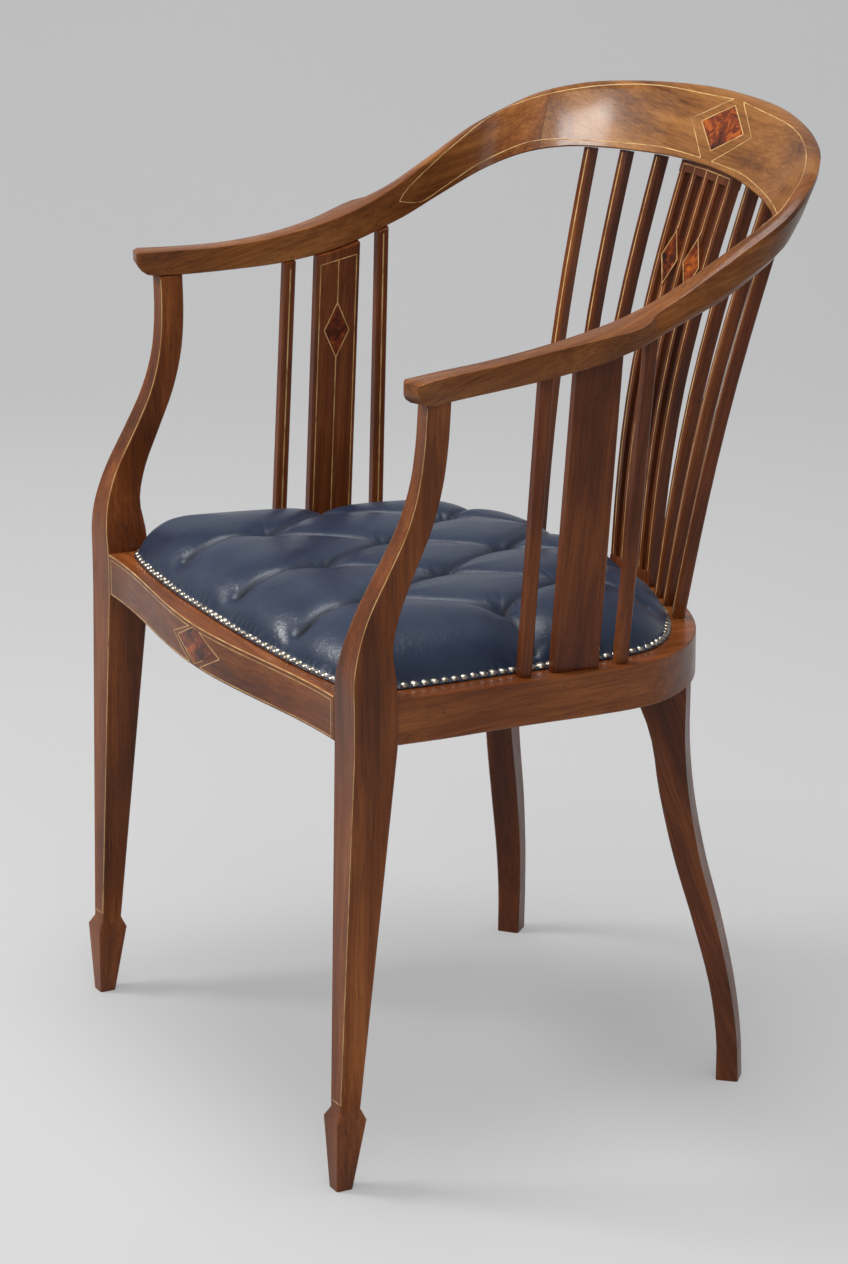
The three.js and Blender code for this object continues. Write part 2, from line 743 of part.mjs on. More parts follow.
function splat() {
  const places = [-1, -0.5, 0, 0.5, 1];
  const pieces = places.map(splatBar);
  const headHalf = splatHalfHead + barWidth / 2 + splatStep;
  const footHalf = splatHalfFoot + barWidth / 2 + splatStep;
  pieces.push(splatStrip(headHalf, splatHead, (x, y) => splatTop(x, y) - splatHeadStrip, splatTop));
  pieces.push(splatStrip(footHalf, splatFoot, splatBottom, (x, y) => splatBottom(x, y) + splatFootStrip));
  for (const side of [-1, 1]) {
    const frame = splatFrame(side);
    const half = new THREE.Vector2(splatInlayLong / 2 + 2 * lozengeRim, splatInlayShort / 2 + lozengeRim);
    const ring = (height) => [[1, 0], [0, 1], [-1, 0], [0, -1]].map(([a, b]) =>
      frame.centre.clone()
        .addScaledVector(frame.long, a * half.x)
        .addScaledVector(frame.short, b * half.y)
        .addScaledVector(frame.out, height));
    pieces.push(loft([ring(-barDepth), ring(0)]));
  }
  return joined(pieces);
}

// Seat layers
function padFront(x) {
  return padFrontCurve * (Math.abs(x) / padFrontHalf) ** padCurvePower - padFrontY;
}

function insetOutline(inset, frontAt, frontHalf) {
  const outline = [];
  const round = 44;
  for (let i = 0; i <= round; i++) {
    outline.push(seatPlace(mix(padStartShare, 1 - padStartShare, i / round), inset));
  }
  const across = 16;
  for (let i = 0; i <= across; i++) {
    const x = mix(-frontHalf, frontHalf, i / across);
    outline.push(new THREE.Vector2(x, frontAt(x)));
  }
  return outline;
}

const clothInset = rebateInset + jointGap;
const rebateFloor = (y) => railTop(y) - rebateDepth;

function strap(outline, level) {
  const base = (x, y) => rebateFloor(y) + jointGap + level * (strapThickness + jointGap);
  return plate(outline, base, (x, y) => base(x, y) + strapThickness);
}

function crossStrap(y) {
  const reach = (edge) => seatPlace(seatShareAt(edge, clothInset), clothInset).x;
  const front = y - strapWidth / 2;
  const back = y + strapWidth / 2;
  const half = Math.min(reach(front), reach(back)) - jointGap;
  const corners = [[-half, front], [half, front], [half, back], [-half, back]];
  return strap(corners.map((p) => new THREE.Vector2(...p)), 0);
}

function longStrap(x) {
  const edges = [x - strapWidth / 2, x + strapWidth / 2];
  const front = Math.max(...edges.map(frontLine)) + clothInset;
  const backAt = (edge) => {
    const step = 1 / wayDivisions;
    let share = 1 / 2;
    while (seatPlace(share, clothInset).x < Math.abs(edge)) share -= step;
    return seatPlace(share, clothInset).y;
  };
  const back = Math.min(...edges.map(backAt)) - jointGap;
  const [a, b] = edges;
  const corners = [[a, front], [b, front], [b, back], [a, back]];
  return strap(corners.map((p) => new THREE.Vector2(...p)), 1);
}

// Buttons of the pad: rows of three and four, half a pitch apart.
const tuftRows = [[-1, 0, 1], [-1.5, -0.5, 0.5, 1.5], [-1, 0, 1], [-0.5, 0.5]];
const tufts = tuftRows.flatMap((row, r) => row.map((share) => ({
  row: r,
  x: share * tuftPitch,
  y: tuftSetback - seatFront + r * tuftRowPitch,
})));

const padOutline = insetOutline(padInset, padFront, padFrontHalf);

function distanceToSegment(x, y, a, b) {
  const dx = b.x - a.x;
  const dy = b.y - a.y;
  const share = THREE.MathUtils.clamp(((x - a.x) * dx + (y - a.y) * dy) / (dx * dx + dy * dy), 0, 1);
  return Math.hypot(x - a.x - share * dx, y - a.y - share * dy);
}

function edgeDistance(x, y) {
  let least = Infinity;
  padOutline.forEach((a, i) => {
    const b = padOutline[(i + 1) % padOutline.length];
    least = Math.min(least, distanceToSegment(x, y, a, b));
  });
  return least;
}

// Pleats run between neighbouring buttons, and from the outer buttons to the pad's edge.
const pleats = (() => {
  const lines = [];
  for (const a of tufts) {
    for (const b of tufts) {
      const neighbours = b.row === a.row + 1 && Math.abs(a.x - b.x) < tuftPitch;
      if (neighbours) lines.push([a, b]);
    }
    if (a.row === 0) lines.push([a, { x: a.x, y: -padFrontY }]);
    if (Math.abs(a.x) > tuftPitch) lines.push([a, { x: Math.sign(a.x) * seatHalfWidth, y: a.y }]);
    const outerBack = a.row === 2 && a.x !== 0;
    if (outerBack) lines.push([a, { x: Math.sign(a.x) * seatHalfWidth, y: a.y + tuftRowPitch }]);
    if (a.row === 3) lines.push([a, { x: a.x, y: seatBack }]);
  }
  return lines;
})();

function padTop(x, y) {
  const climb = Math.min(edgeDistance(x, y) / padShoulder, 1);
  const round = Math.sqrt(1 - (1 - climb) ** 2);
  const hollow = (depth, distance, radius) => depth * Math.exp(-((distance / radius) ** 2));
  let tuft = 0;
  for (const t of tufts) {
    tuft = Math.max(tuft, hollow(tuftDepth, Math.hypot(x - t.x, y - t.y), tuftRadius));
  }
  let pleat = 0;
  for (const [a, b] of pleats) {
    pleat = Math.max(pleat, hollow(pleatDepth, distanceToSegment(x, y, a, b), pleatRadius));
  }
  const dip = Math.hypot(tuft, pleat);
  return railTop(y) + jointGap + padEdge + Math.max(round * (padHeight - padEdge - dip), 0);
}

function seatPad() {
  const across = 26;
  const deep = 26;
  const backY = seatPlace(0.5, padInset).y;
  const start = padOutline[0];
  const halfAt = (share) => {
    const y = mix(-padFrontY, backY, Math.min(share, lastRowShare));
    if (y < start.y) return mix(padFrontHalf, start.x, (y + padFrontY) / (start.y + padFrontY));
    return seatPlace(seatShareAt(y, padInset), padInset).x;
  };
  const grid = [];
  for (let i = 0; i <= deep; i++) {
    const share = Math.sin((i / deep) * Math.PI / 2) * lastRowShare;
    const even = (i / deep + share) * lastRowShare / (1 + lastRowShare);
    for (let j = 0; j <= across; j++) {
      const x = mix(-1, 1, j / across) * halfAt(even);
      const front = (padFront(x) + padFrontY) * Math.max(1 - even / frontFadeShare, 0);
      const y = mix(-padFrontY, backY, even) + front;
      grid.push(new THREE.Vector2(x, y));
    }
  }
  const columns = across + 1;
  const rim = [];
  for (let j = 0; j <= across; j++) rim.push(j);
  for (let i = 1; i <= deep; i++) rim.push(i * columns + across);
  for (let j = across - 1; j >= 0; j--) rim.push(deep * columns + j);
  for (let i = deep - 1; i > 0; i--) rim.push(i * columns);
  const isRim = new Set(rim);
  const points = grid.map((p, i) => {
    const edge = railTop(p.y) + jointGap + padEdge;
    return point(p.x, p.y, isRim.has(i) ? edge : padTop(p.x, p.y));
  });
  const index = [];
  for (let i = 0; i < deep; i++) {
    for (let j = 0; j < across; j++) {
      const a = i * columns + j;
      if (j < across / 2) index.push(a, a + 1, a + 1 + columns, a, a + 1 + columns, a + columns);
      else index.push(a, a + 1, a + columns, a + 1, a + 1 + columns, a + columns);
    }
  }
  const base = points.length;
  for (const i of rim) points.push(point(grid[i].x, grid[i].y, railTop(grid[i].y) + jointGap));
  rim.forEach((top, k) => {
    const next = rim[(k + 1) % rim.length];
    const lower = base + k;
    const lowerNext = base + ((k + 1) % rim.length);
    index.push(lower, lowerNext, next, lower, next, top);
  });
  const outline = rim.map((i) => grid[i]);
  for (const [a, b, c] of THREE.ShapeUtils.triangulateShape(outline, [])) {
    index.push(base + a, base + c, base + b);
  }
  const pad = body(points, index);
  return tufts.reduce((shape, tuft) => cut(shape, buttonPocket(tuft)), pad);
}

// A ring of points round a button's place.
function tuftRing(tuft, radius, z) {
  return Array.from({ length: buttonSides }, (_, i) => {
    const angle = 2 * Math.PI * i / buttonSides;
    return point(tuft.x + radius * Math.cos(angle), tuft.y + radius * Math.sin(angle), z);
  });
}

function buttonPocket(tuft) {
  const floor = padTop(tuft.x, tuft.y) - pocketDepth;
  const radius = buttonRadius + jointGap / Math.cos(Math.PI / buttonSides);
  return loft([tuftRing(tuft, radius, floor), tuftRing(tuft, radius, floor + cutOverrun)]);
}

function button(tuft) {
  const floor = padTop(tuft.x, tuft.y) - pocketDepth + jointGap;
  return loft(buttonShares.map(([width, height]) =>
    tuftRing(tuft, width * buttonRadius, floor + height * buttonRise)));
}

// Assembly: seat frame
const seatEnd = jointGap / 2 / seatPlan.getLength();
const railFrame = {
  centre: point(0, -seatFront, railTop(-seatFront) - railHeight / 2),
  long: point(1, 0, 0),
  short: point(0, 0, 1),
  out: point(0, -1, 0),
};
const railSagitta = frontLine(railInlayLong / 2) + seatFront;
const railInlayDepth = inlayDepth + railSagitta;
const frontRailInlaid = letIn(frontRail(), railFrame, railInlayLong, railInlayShort, railInlayDepth);
add("seat_rail_front", frontRailInlaid.wood, mahogany);
addPair("seat_rail", curvedRail(2 * seatEnd, sideRailShare - seatEnd, 34), mahogany);
add("seat_rail_back", curvedRail(sideRailShare + seatEnd, 1 - sideRailShare - seatEnd, 24), mahogany);
addPair("leg_front", frontLeg(), mahogany);
addPair("leg_back", backLeg(), mahogany);
addPair("corner_block_front", frontBlock(), blockWood);
addPair("corner_block_back", backBlock(), blockWood);

// Assembly: bow
addPair("arm", bowPiece(0, crestJoint - jointGap / 2, 42, [noseLength / 4, noseLength]), mahogany);
const crestMiddle = bowStation(bow.length / 2);
const faceUp = point(0, crestMiddle.lean, crestMiddle.face).normalize();
const crestFrame = {
  centre: crestMiddle.inner.clone()
    .addScaledVector(faceUp, Math.hypot(crestMiddle.lean, crestMiddle.face) / 2 + crestInlayRise),
  long: point(1, 0, 0),
  short: faceUp,
  out: point(0, -faceUp.z, faceUp.y),
};
const crestBody = bowPiece(crestJoint + jointGap / 2, bow.length - crestJoint - jointGap / 2, 44);
const crest = letIn(crestBody, crestFrame, crestInlayLong, crestInlayShort, inlayDepth);
add("crest_rail", crest.wood, mahogany);

// Assembly: spindles, slats and splat
const sideSpindle = (setback) => sideBar(
  sideEnds(setback - legBack, sideSpindleWidth), sideSpindleWidth, sideSpindleDepth, 1,
);
addPair("side_spindle_front", sideSpindle(sideFrontSetback), mahogany);
addPair("side_spindle_rear", sideSpindle(sideRearSetback), mahogany);

const slatEnds = sideEnds(sideSlatSetback - legBack, slatThickness);
const slatFoot = point(slatEnds.foot.x, slatEnds.foot.y, railTop(slatEnds.foot.y));
const slatHead = point(slatEnds.head.x, slatEnds.head.y, bowUnder(slatEnds.head.x, slatEnds.head.y));
const slatUp = slatHead.clone().sub(slatFoot).normalize();
const slatOut = slatUp.clone().cross(point(0, 1, 0)).normalize();
const slatShare = (seatHeight + slatInlayRise - slatFoot.z) / (slatHead.z - slatFoot.z);
const slatFrame = {
  centre: slatFoot.clone().lerp(slatHead, slatShare).addScaledVector(slatOut, slatThickness / 2),
  long: slatUp,
  short: slatOut.clone().cross(slatUp),
  out: slatOut,
};
const slatBody = sideBar(slatEnds, slatThickness, slatWidth, slatSteps);
const slat = letIn(slatBody, slatFrame, slatInlayLong, slatInlayShort, inlayDepth);
addPair("side_slat", slat.wood, mahogany);

backSpindleShares.forEach((row, i) => {
  const spindle = backSpindle(row);
  add(`back_spindle_left_${i + 1}`, spindle, mahogany);
  add(`back_spindle_right_${i + 1}`, mirrored(spindle), mahogany);
});

const inlaySizes = [splatInlayLong, splatInlayShort, inlayDepth];
const splatLeft = letIn(splat(), splatFrame(1), ...inlaySizes);
const splatRight = letIn(splatLeft.wood, splatFrame(-1), ...inlaySizes);
add("back_splat", splatRight.wood, mahogany);

// Assembly: marquetry
add("inlay_rail_front", frontRailInlaid.panel, burr);
add("inlay_crest", crest.panel, burr);
addPair("inlay_slat", slat.panel, burr);
add("inlay_splat_left", splatLeft.panel, burr);
add("inlay_splat_right", splatRight.panel, burr);

// Assembly: seat
const strapPlaces = [-1, 0, 1];
const strapMiddle = (seatBack - seatFront) / 2 + strapShift;
strapPlaces.forEach((place, i) => {
  add(`webbing_cross_${i + 1}`, crossStrap(strapMiddle + place * strapPitch), webbing);
  add(`webbing_long_${i + 1}`, longStrap(place * strapPitch), webbing);
});

const clothFloor = (x, y) => rebateFloor(y) + jointGap + 2 * (strapThickness + jointGap);
const clothOutline = insetOutline(clothInset, (x) => frontLine(x) + clothInset, padFrontHalf - jointGap);
add("seat_base_cloth", plate(clothOutline, clothFloor, (x, y) => clothFloor(x, y) + clothThickness), hessian);
add("seat_pad", seatPad(), navyLeather);
tufts.forEach((tuft, i) => add(`seat_button_${String(i + 1).padStart(2, "0")}`, button(tuft), navyLeather));

export default chair;
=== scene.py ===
import math
import random

import bmesh
import bpy
from mathutils import Matrix, Vector
from mathutils.bvhtree import BVHTree
from mathutils.kdtree import KDTree


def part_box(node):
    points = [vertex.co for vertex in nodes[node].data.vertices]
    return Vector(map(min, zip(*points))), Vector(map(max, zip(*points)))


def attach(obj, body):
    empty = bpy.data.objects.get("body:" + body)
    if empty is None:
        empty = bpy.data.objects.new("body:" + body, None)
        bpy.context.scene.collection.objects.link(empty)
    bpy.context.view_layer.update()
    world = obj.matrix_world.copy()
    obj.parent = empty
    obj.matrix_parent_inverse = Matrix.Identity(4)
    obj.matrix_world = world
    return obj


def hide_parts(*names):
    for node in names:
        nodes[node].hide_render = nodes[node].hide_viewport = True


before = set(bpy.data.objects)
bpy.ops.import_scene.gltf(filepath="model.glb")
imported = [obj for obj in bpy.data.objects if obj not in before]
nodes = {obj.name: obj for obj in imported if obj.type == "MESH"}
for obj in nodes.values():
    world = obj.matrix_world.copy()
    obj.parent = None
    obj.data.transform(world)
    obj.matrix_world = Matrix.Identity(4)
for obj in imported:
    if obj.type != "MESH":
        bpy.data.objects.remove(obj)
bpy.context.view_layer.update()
scene = bpy.context.scene
draw = random.Random(11)
MM = 0.001

# Camera, at the photograph's viewing angle. Pixels are those of the 848 x 1264 photograph.
PHOTO_WIDTH, PHOTO_HEIGHT = 848, 1264
FOCAL_PIXELS = 4276
SENSOR = 36
AZIMUTH, ELEVATION = math.radians(62.2), math.radians(17.8)
CAMERA_AT = Vector((3.1194, -1.6958, 1.5143))
BACKWARD = Vector((
    math.sin(AZIMUTH) * math.cos(ELEVATION),
    -math.cos(AZIMUTH) * math.cos(ELEVATION),
    math.sin(ELEVATION),
))
RIGHTWARD = Vector((math.cos(AZIMUTH), math.sin(AZIMUTH), 0))
UPWARD = BACKWARD.cross(RIGHTWARD)

camera_data = bpy.data.cameras.new("camera")
camera_data.sensor_fit = "VERTICAL"
camera_data.sensor_height = SENSOR
camera_data.lens = FOCAL_PIXELS * SENSOR / PHOTO_HEIGHT
camera = bpy.data.objects.new("camera", camera_data)
scene.collection.objects.link(camera)
turned = Matrix((RIGHTWARD, UPWARD, BACKWARD)).transposed()
camera.matrix_world = Matrix.Translation(CAMERA_AT) @ turned.to_4x4()
scene.camera = camera


def seen_on(tree, pixels):
    """The places on a surface that lie behind pixels of the photograph."""
    places = []
    for u, v in pixels:
        across = (u - PHOTO_WIDTH / 2) / FOCAL_PIXELS
        rise = (PHOTO_HEIGHT / 2 - v) / FOCAL_PIXELS
        sight = (RIGHTWARD * across + UPWARD * rise - BACKWARD).normalized()
        places.append(tree.ray_cast(CAMERA_AT, sight)[0])
    return places


# Node helpers
class Graph:
    """Short names for building a material's nodes."""

    def __init__(self, name):
        self.material = bpy.data.materials.new(name)
        self.material.use_nodes = True
        self.tree = self.material.node_tree
        self.shader = self.tree.nodes["Principled BSDF"]

    def node(self, kind, **inputs):
        made = self.tree.nodes.new(kind)
        for key, value in inputs.items():
            self.put(made.inputs[key.replace("_", " ")], value)
        return made

    def put(self, socket, value):
        if isinstance(value, bpy.types.NodeSocket):
            self.tree.links.new(value, socket)
        else:
            socket.default_value = value

    def math(self, operation, a, b=0.0):
        made = self.tree.nodes.new("ShaderNodeMath")
        made.operation = operation
        self.put(made.inputs[0], a)
        self.put(made.inputs[1], b)
        return made.outputs[0]

    def ramp(self, value, stops):
        made = self.tree.nodes.new("ShaderNodeValToRGB")
        self.put(made.inputs[0], value)
        elements = made.color_ramp.elements
        while len(elements) < len(stops):
            elements.new(0.5)
        for element, (place, colour) in zip(elements, stops):
            element.position = place
            element.color = (*colour, 1) if isinstance(colour, tuple) else (colour, colour, colour, 1)
        return made.outputs[0]

    def blend(self, how, share, a, b):
        made = self.tree.nodes.new("ShaderNodeMix")
        made.data_type = "RGBA"
        made.blend_type = how
        self.put(made.inputs[0], share)
        self.put(made.inputs[6], a if isinstance(a, bpy.types.NodeSocket) else (*a, 1))
        self.put(made.inputs[7], b if isinstance(b, bpy.types.NodeSocket) else (*b, 1))
        return made.outputs[2]

    def stretched(self, vector, scale):
        made = self.tree.nodes.new("ShaderNodeMapping")
        self.put(made.inputs["Vector"], vector)
        made.inputs["Scale"].default_value = scale
        return made.outputs[0]

    def noise(self, vector, scale, detail=3.0, roughness=0.5, distortion=0.0):
        made = self.node(
            "ShaderNodeTexNoise", Scale=scale, Detail=detail, Roughness=roughness, Distortion=distortion,
        )
        self.put(made.inputs["Vector"], vector)
        return made.outputs["Fac"]

    def bump(self, height, strength, distance, normal=None):
        made = self.node("ShaderNodeBump", Strength=strength, Distance=distance)
        self.put(made.inputs["Height"], height)
        if normal:
            self.put(made.inputs["Normal"], normal)
        return made.outputs[0]

    def either(self, share, first, second):
        """A share of the second shader mixed into the first."""
        made = self.node("ShaderNodeMixShader")
        for socket, value in zip(made.inputs, (share, first, second)):
            self.put(socket, value)
        return made.outputs[0]

    def attribute(self, name, output="Vector"):
        made = self.tree.nodes.new("ShaderNodeAttribute")
        made.attribute_name = name
        return made.outputs[output]

    def place(self):
        return self.node("ShaderNodeTexCoord").outputs["Object"]


# Materials
def wood(name, dark, mid, light, streak=1.0, speck=1.0, rough=0.3):
    """Polished wood whose figure follows the grain attribute, with pores, patches and small old marks."""
    g = Graph(name)
    grain = g.attribute("grain")
    wave = g.noise(g.stretched(grain, (3, 9, 9)), 1.0, 3.0)
    bent = g.node("ShaderNodeVectorMath")
    bent.operation = "MULTIPLY_ADD"
    g.put(bent.inputs[0], wave)
    bent.inputs[1].default_value = (0.0, 0.012, 0.012)
    g.put(bent.inputs[2], grain)
    lie = bent.outputs[0]
    broad = g.noise(g.stretched(lie, (2.2, 46, 46)), 1.0, 5.0, 0.55)
    fine = g.noise(g.stretched(lie, (9, 420, 420)), 1.0, 4.0, 0.6)
    patch = g.noise(g.stretched(grain, (7, 13, 13)), 1.0, 3.0, 0.5)
    figure = g.math("ADD", g.math("MULTIPLY", broad, 0.55 * streak), g.math("MULTIPLY", fine, 0.36 * streak))
    figure = g.math("ADD", figure, g.math("MULTIPLY", patch, 0.45))
    figure = g.math("SUBTRACT", figure, 0.18 + 0.455 * (streak - 1))
    colour = g.ramp(figure, ((0.33, dark), (0.5, mid), (0.68, light)))
    pores = g.noise(g.stretched(lie, (34, 1500, 1500)), 1.0, 2.0, 0.6)
    pore = g.ramp(pores, ((0.30, 1.0), (0.42, 0.0)))
    colour = g.blend("MULTIPLY", g.math("MULTIPLY", pore, 0.55), colour, tuple(0.35 * c for c in mid))
    marks = g.noise(g.stretched(grain, (60, 150, 150)), 1.0, 4.0, 0.65)
    mark = g.ramp(marks, ((0.68, 0.0), (0.76, 1.0)))
    colour = g.blend("MULTIPLY", g.math("MULTIPLY", mark, 0.6 * speck), colour, (0.12, 0.07, 0.05))
    g.put(g.shader.inputs["Base Color"], colour)
    worn = g.noise(g.stretched(grain, (25, 40, 40)), 1.0, 4.0)
    g.put(g.shader.inputs["Roughness"], g.ramp(worn, ((0.3, rough - 0.05), (0.75, rough + 0.12))))
    relief = g.math("SUBTRACT", g.math("MULTIPLY", fine, 0.3), g.math("MULTIPLY", pore, 0.7))
    undulation = g.noise(g.stretched(grain, (18, 45, 45)), 1.0, 2.0)
    rippled = g.bump(undulation, 0.25, 0.0015)
    g.put(g.shader.inputs["Normal"], g.bump(relief, 0.25, 0.0003, rippled))
    g.shader.inputs["Specular IOR Level"].default_value = 0.18
    g.shader.inputs["Coat Weight"].default_value = 0.14
    g.shader.inputs["Coat Roughness"].default_value = 0.12
    return g.material


def burr_wood():
    """Burr veneer: swirls and dark eyes, orange red."""
    g = Graph("burr")
    grain = g.attribute("grain")
    swirl = g.noise(grain, 90.0, 6.0, 0.65, 1.6)
    cloud = g.noise(grain, 34.0, 3.0, 0.5, 0.8)
    colour = g.ramp(
        g.math("ADD", g.math("MULTIPLY", swirl, 0.6), g.math("MULTIPLY", cloud, 0.4)),
        ((0.38, (0.014, 0.003, 0.001)), (0.51, (0.15, 0.024, 0.004)), (0.66, (0.50, 0.12, 0.012))),
    )
    g.put(g.shader.inputs["Base Color"], colour)
    g.shader.inputs["Roughness"].default_value = 0.3
    g.shader.inputs["Specular IOR Level"].default_value = 0.2
    g.shader.inputs["Coat Weight"].default_value = 0.12
    g.shader.inputs["Coat Roughness"].default_value = 0.12
    g.put(g.shader.inputs["Normal"], g.bump(swirl, 0.1, 0.0004))
    return g.material


def string_wood():
    """Boxwood lines, darkened unevenly by polish."""
    g = Graph("stringing")
    place = g.place()
    tone = g.noise(place, 55.0, 4.0, 0.6)
    shades = (0.3, (0.24, 0.11, 0.035)), (0.5, (0.50, 0.29, 0.10)), (0.7, (0.66, 0.43, 0.18))
    colour = g.ramp(tone, shades)
    g.put(g.shader.inputs["Base Color"], colour)
    g.shader.inputs["Roughness"].default_value = 0.35
    g.put(g.shader.inputs["Normal"], g.bump(g.noise(place, 900.0, 2.0), 0.1, 0.0002))
    return g.material


def leather(name, base, lift):
    """Navy hide with a fine pebble grain, fine creases and a soft polish, with painted shade down its folds.
    """
    g = Graph(name)
    place = g.place()
    cloud = g.noise(place, 14.0, 4.0, 0.6)
    colour = g.ramp(cloud, ((0.3, base), (0.72, lift)))
    fold_shade = g.attribute("fold_shade", "Fac")
    # Painted shade: the colour goes almost black down the folds
    colour = g.blend("MIX", g.math("MULTIPLY", fold_shade, 0.96), colour, (0.002, 0.003, 0.005))
    g.put(g.shader.inputs["Base Color"], colour)
    cells = g.node("ShaderNodeTexVoronoi", Scale=950.0)
    g.put(cells.inputs["Vector"], place)
    pebble = cells.outputs["Distance"]
    crease = g.noise(place, 160.0, 5.0, 0.6, 0.6)
    rough = g.ramp(cloud, ((0.3, 0.27), (0.7, 0.38)))
    g.put(g.shader.inputs["Roughness"], g.math("ADD", rough, g.math("MULTIPLY", fold_shade, 0.5)))
    soft = g.bump(crease, 0.3, 0.0012)
    g.put(g.shader.inputs["Normal"], g.bump(pebble, 0.12, 0.0003, soft))
    g.shader.inputs["Specular IOR Level"].default_value = 0.5
    g.shader.inputs["Sheen Weight"].default_value = 0.01
    g.shader.inputs["Sheen Roughness"].default_value = 0.5
    g.shader.inputs["Sheen Tint"].default_value = (0.6, 0.7, 0.9, 1)
    return g.material


def fold_shadow_leather():
    """Painted shadow: hide down in the folds, dull and almost black."""
    g = Graph("fold_shadow_leather")
    place = g.place()
    tone = g.noise(place, 120.0, 4.0, 0.6)
    colour = g.ramp(tone, ((0.3, (0.001, 0.0012, 0.002)), (0.7, (0.004, 0.005, 0.008))))
    g.put(g.shader.inputs["Base Color"], colour)
    g.shader.inputs["Roughness"].default_value = 0.8
    g.shader.inputs["Specular IOR Level"].default_value = 0.1
    g.put(g.shader.inputs["Normal"], g.bump(tone, 0.2, 0.0004))
    return g.material


def nail_brass():
    """Old brass nail heads, tarnished unevenly: pale in places and dark in others."""
    g = Graph("nail_brass")
    place = g.place()
    tarnish = g.noise(place, 240.0, 4.0, 0.6)
    colour = g.ramp(tarnish, ((0.35, (0.17, 0.14, 0.10)), (0.6, (0.54, 0.50, 0.43))))
    g.put(g.shader.inputs["Base Color"], colour)
    g.put(g.shader.inputs["Roughness"], g.ramp(tarnish, ((0.3, 0.38), (0.7, 0.22))))
    g.shader.inputs["Metallic"].default_value = 1.0
    g.put(g.shader.inputs["Normal"], g.bump(g.noise(place, 1500.0, 2.0), 0.15, 0.0002))
    return g.material


def woven(name, dark, light, pitch):
    """Coarse woven jute."""
    g = Graph(name)
    place = g.place()
    waves = []
    for axis in ("X", "Y"):
        wave = g.node("ShaderNodeTexWave", Scale=1 / pitch / 20, Distortion=1.5, Detail=2.0)
        wave.bands_direction = axis
        g.put(wave.inputs["Vector"], place)
        waves.append(wave.outputs["Fac"])
    weave = g.math("MAXIMUM", waves[0], waves[1])
    g.put(g.shader.inputs["Base Color"], g.ramp(weave, ((0.2, dark), (0.9, light))))
    g.shader.inputs["Roughness"].default_value = 0.9
    g.put(g.shader.inputs["Normal"], g.bump(weave, 0.5, 0.0008))
    return g.material


RED = wood("mahogany_red", (0.072, 0.019, 0.0055), (0.160, 0.042, 0.0090), (0.29, 0.092, 0.022))
GOLDEN = wood("mahogany_golden", (0.060, 0.016, 0.004), (0.200, 0.074, 0.0155), (0.34, 0.145, 0.036))
ARM = wood("mahogany_arm", (0.066, 0.018, 0.0045), (0.165, 0.052, 0.0110), (0.31, 0.118, 0.029))
DARK = wood("mahogany_dark", (0.046, 0.011, 0.003), (0.115, 0.027, 0.0062), (0.22, 0.064, 0.015))
BLOCK = wood("block_wood", (0.25, 0.15, 0.07), (0.42, 0.28, 0.15), (0.55, 0.40, 0.24), 0.8, 0.6, 0.6)
BURR = burr_wood()
STRING = string_wood()
HIDE = leather("navy_leather", (0.010, 0.0185, 0.042), (0.017, 0.030, 0.062))
# Painted shadow for the strips along the bottom of the folds
FOLD_SHADOW = fold_shadow_leather()
BUTTON = leather("button_leather", (0.011, 0.016, 0.030), (0.020, 0.028, 0.050))
BRASS = nail_brass()
WEBBING = woven("jute_webbing", (0.12, 0.09, 0.05), (0.40, 0.31, 0.19), 0.003)
HESSIAN = woven("hessian_cloth", (0.16, 0.12, 0.07), (0.46, 0.37, 0.24), 0.0015)


# Making pieces
def placed(name, mesh, material):
    """A mesh as a piece that rides with the chair."""
    piece = bpy.data.objects.new(name, mesh)
    scene.collection.objects.link(piece)
    mesh.materials.clear()
    mesh.materials.append(material)
    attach(piece, "root")
    return piece


def shaded(mesh, degrees):
    """Smooth faces, with the edges that are sharper than an angle kept crisp."""
    made = bmesh.new()
    made.from_mesh(mesh)
    bmesh.ops.remove_doubles(made, verts=made.verts, dist=1e-5)
    limit = math.radians(degrees)
    for face in made.faces:
        face.smooth = True
    for edge in made.edges:
        edge.smooth = len(edge.link_faces) == 2 and edge.calc_face_angle(math.pi) < limit
    made.to_mesh(mesh)
    made.free()


def grained(mesh, along, offset):
    """Writes the grain attribute: distance along the wood's length, and two distances across it."""
    along = Vector(along).normalized()
    first = Vector((0, 0, 1)).cross(along)
    if first.length < 0.1:
        first = Vector((1, 0, 0))
    first.normalize()
    second = along.cross(first)
    layer = mesh.attributes.new("grain", "FLOAT_VECTOR", "POINT")
    for vertex in mesh.vertices:
        p = vertex.co
        layer.data[vertex.index].vector = (
            p.dot(along) + offset, p.dot(first) + 2 * offset, p.dot(second) - offset,
        )


def dressed(node, along, material, degrees=32):
    """A piece of wood with its CAD node's shape, its grain laid along its length."""
    mesh = nodes[node].data.copy()
    mesh.name = node + "_dressed"
    if "custom_normal" in mesh.attributes:
        mesh.attributes.remove(mesh.attributes["custom_normal"])
    shaded(mesh, degrees)
    grained(mesh, along, draw.uniform(0, 5))
    piece = placed(node + "_dressed", mesh, material)
    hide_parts(node)


def covered(node, material):
    """Gives a CAD node that stays as it is a finish."""
    nodes[node].data.materials.clear()
    nodes[node].data.materials.append(material)


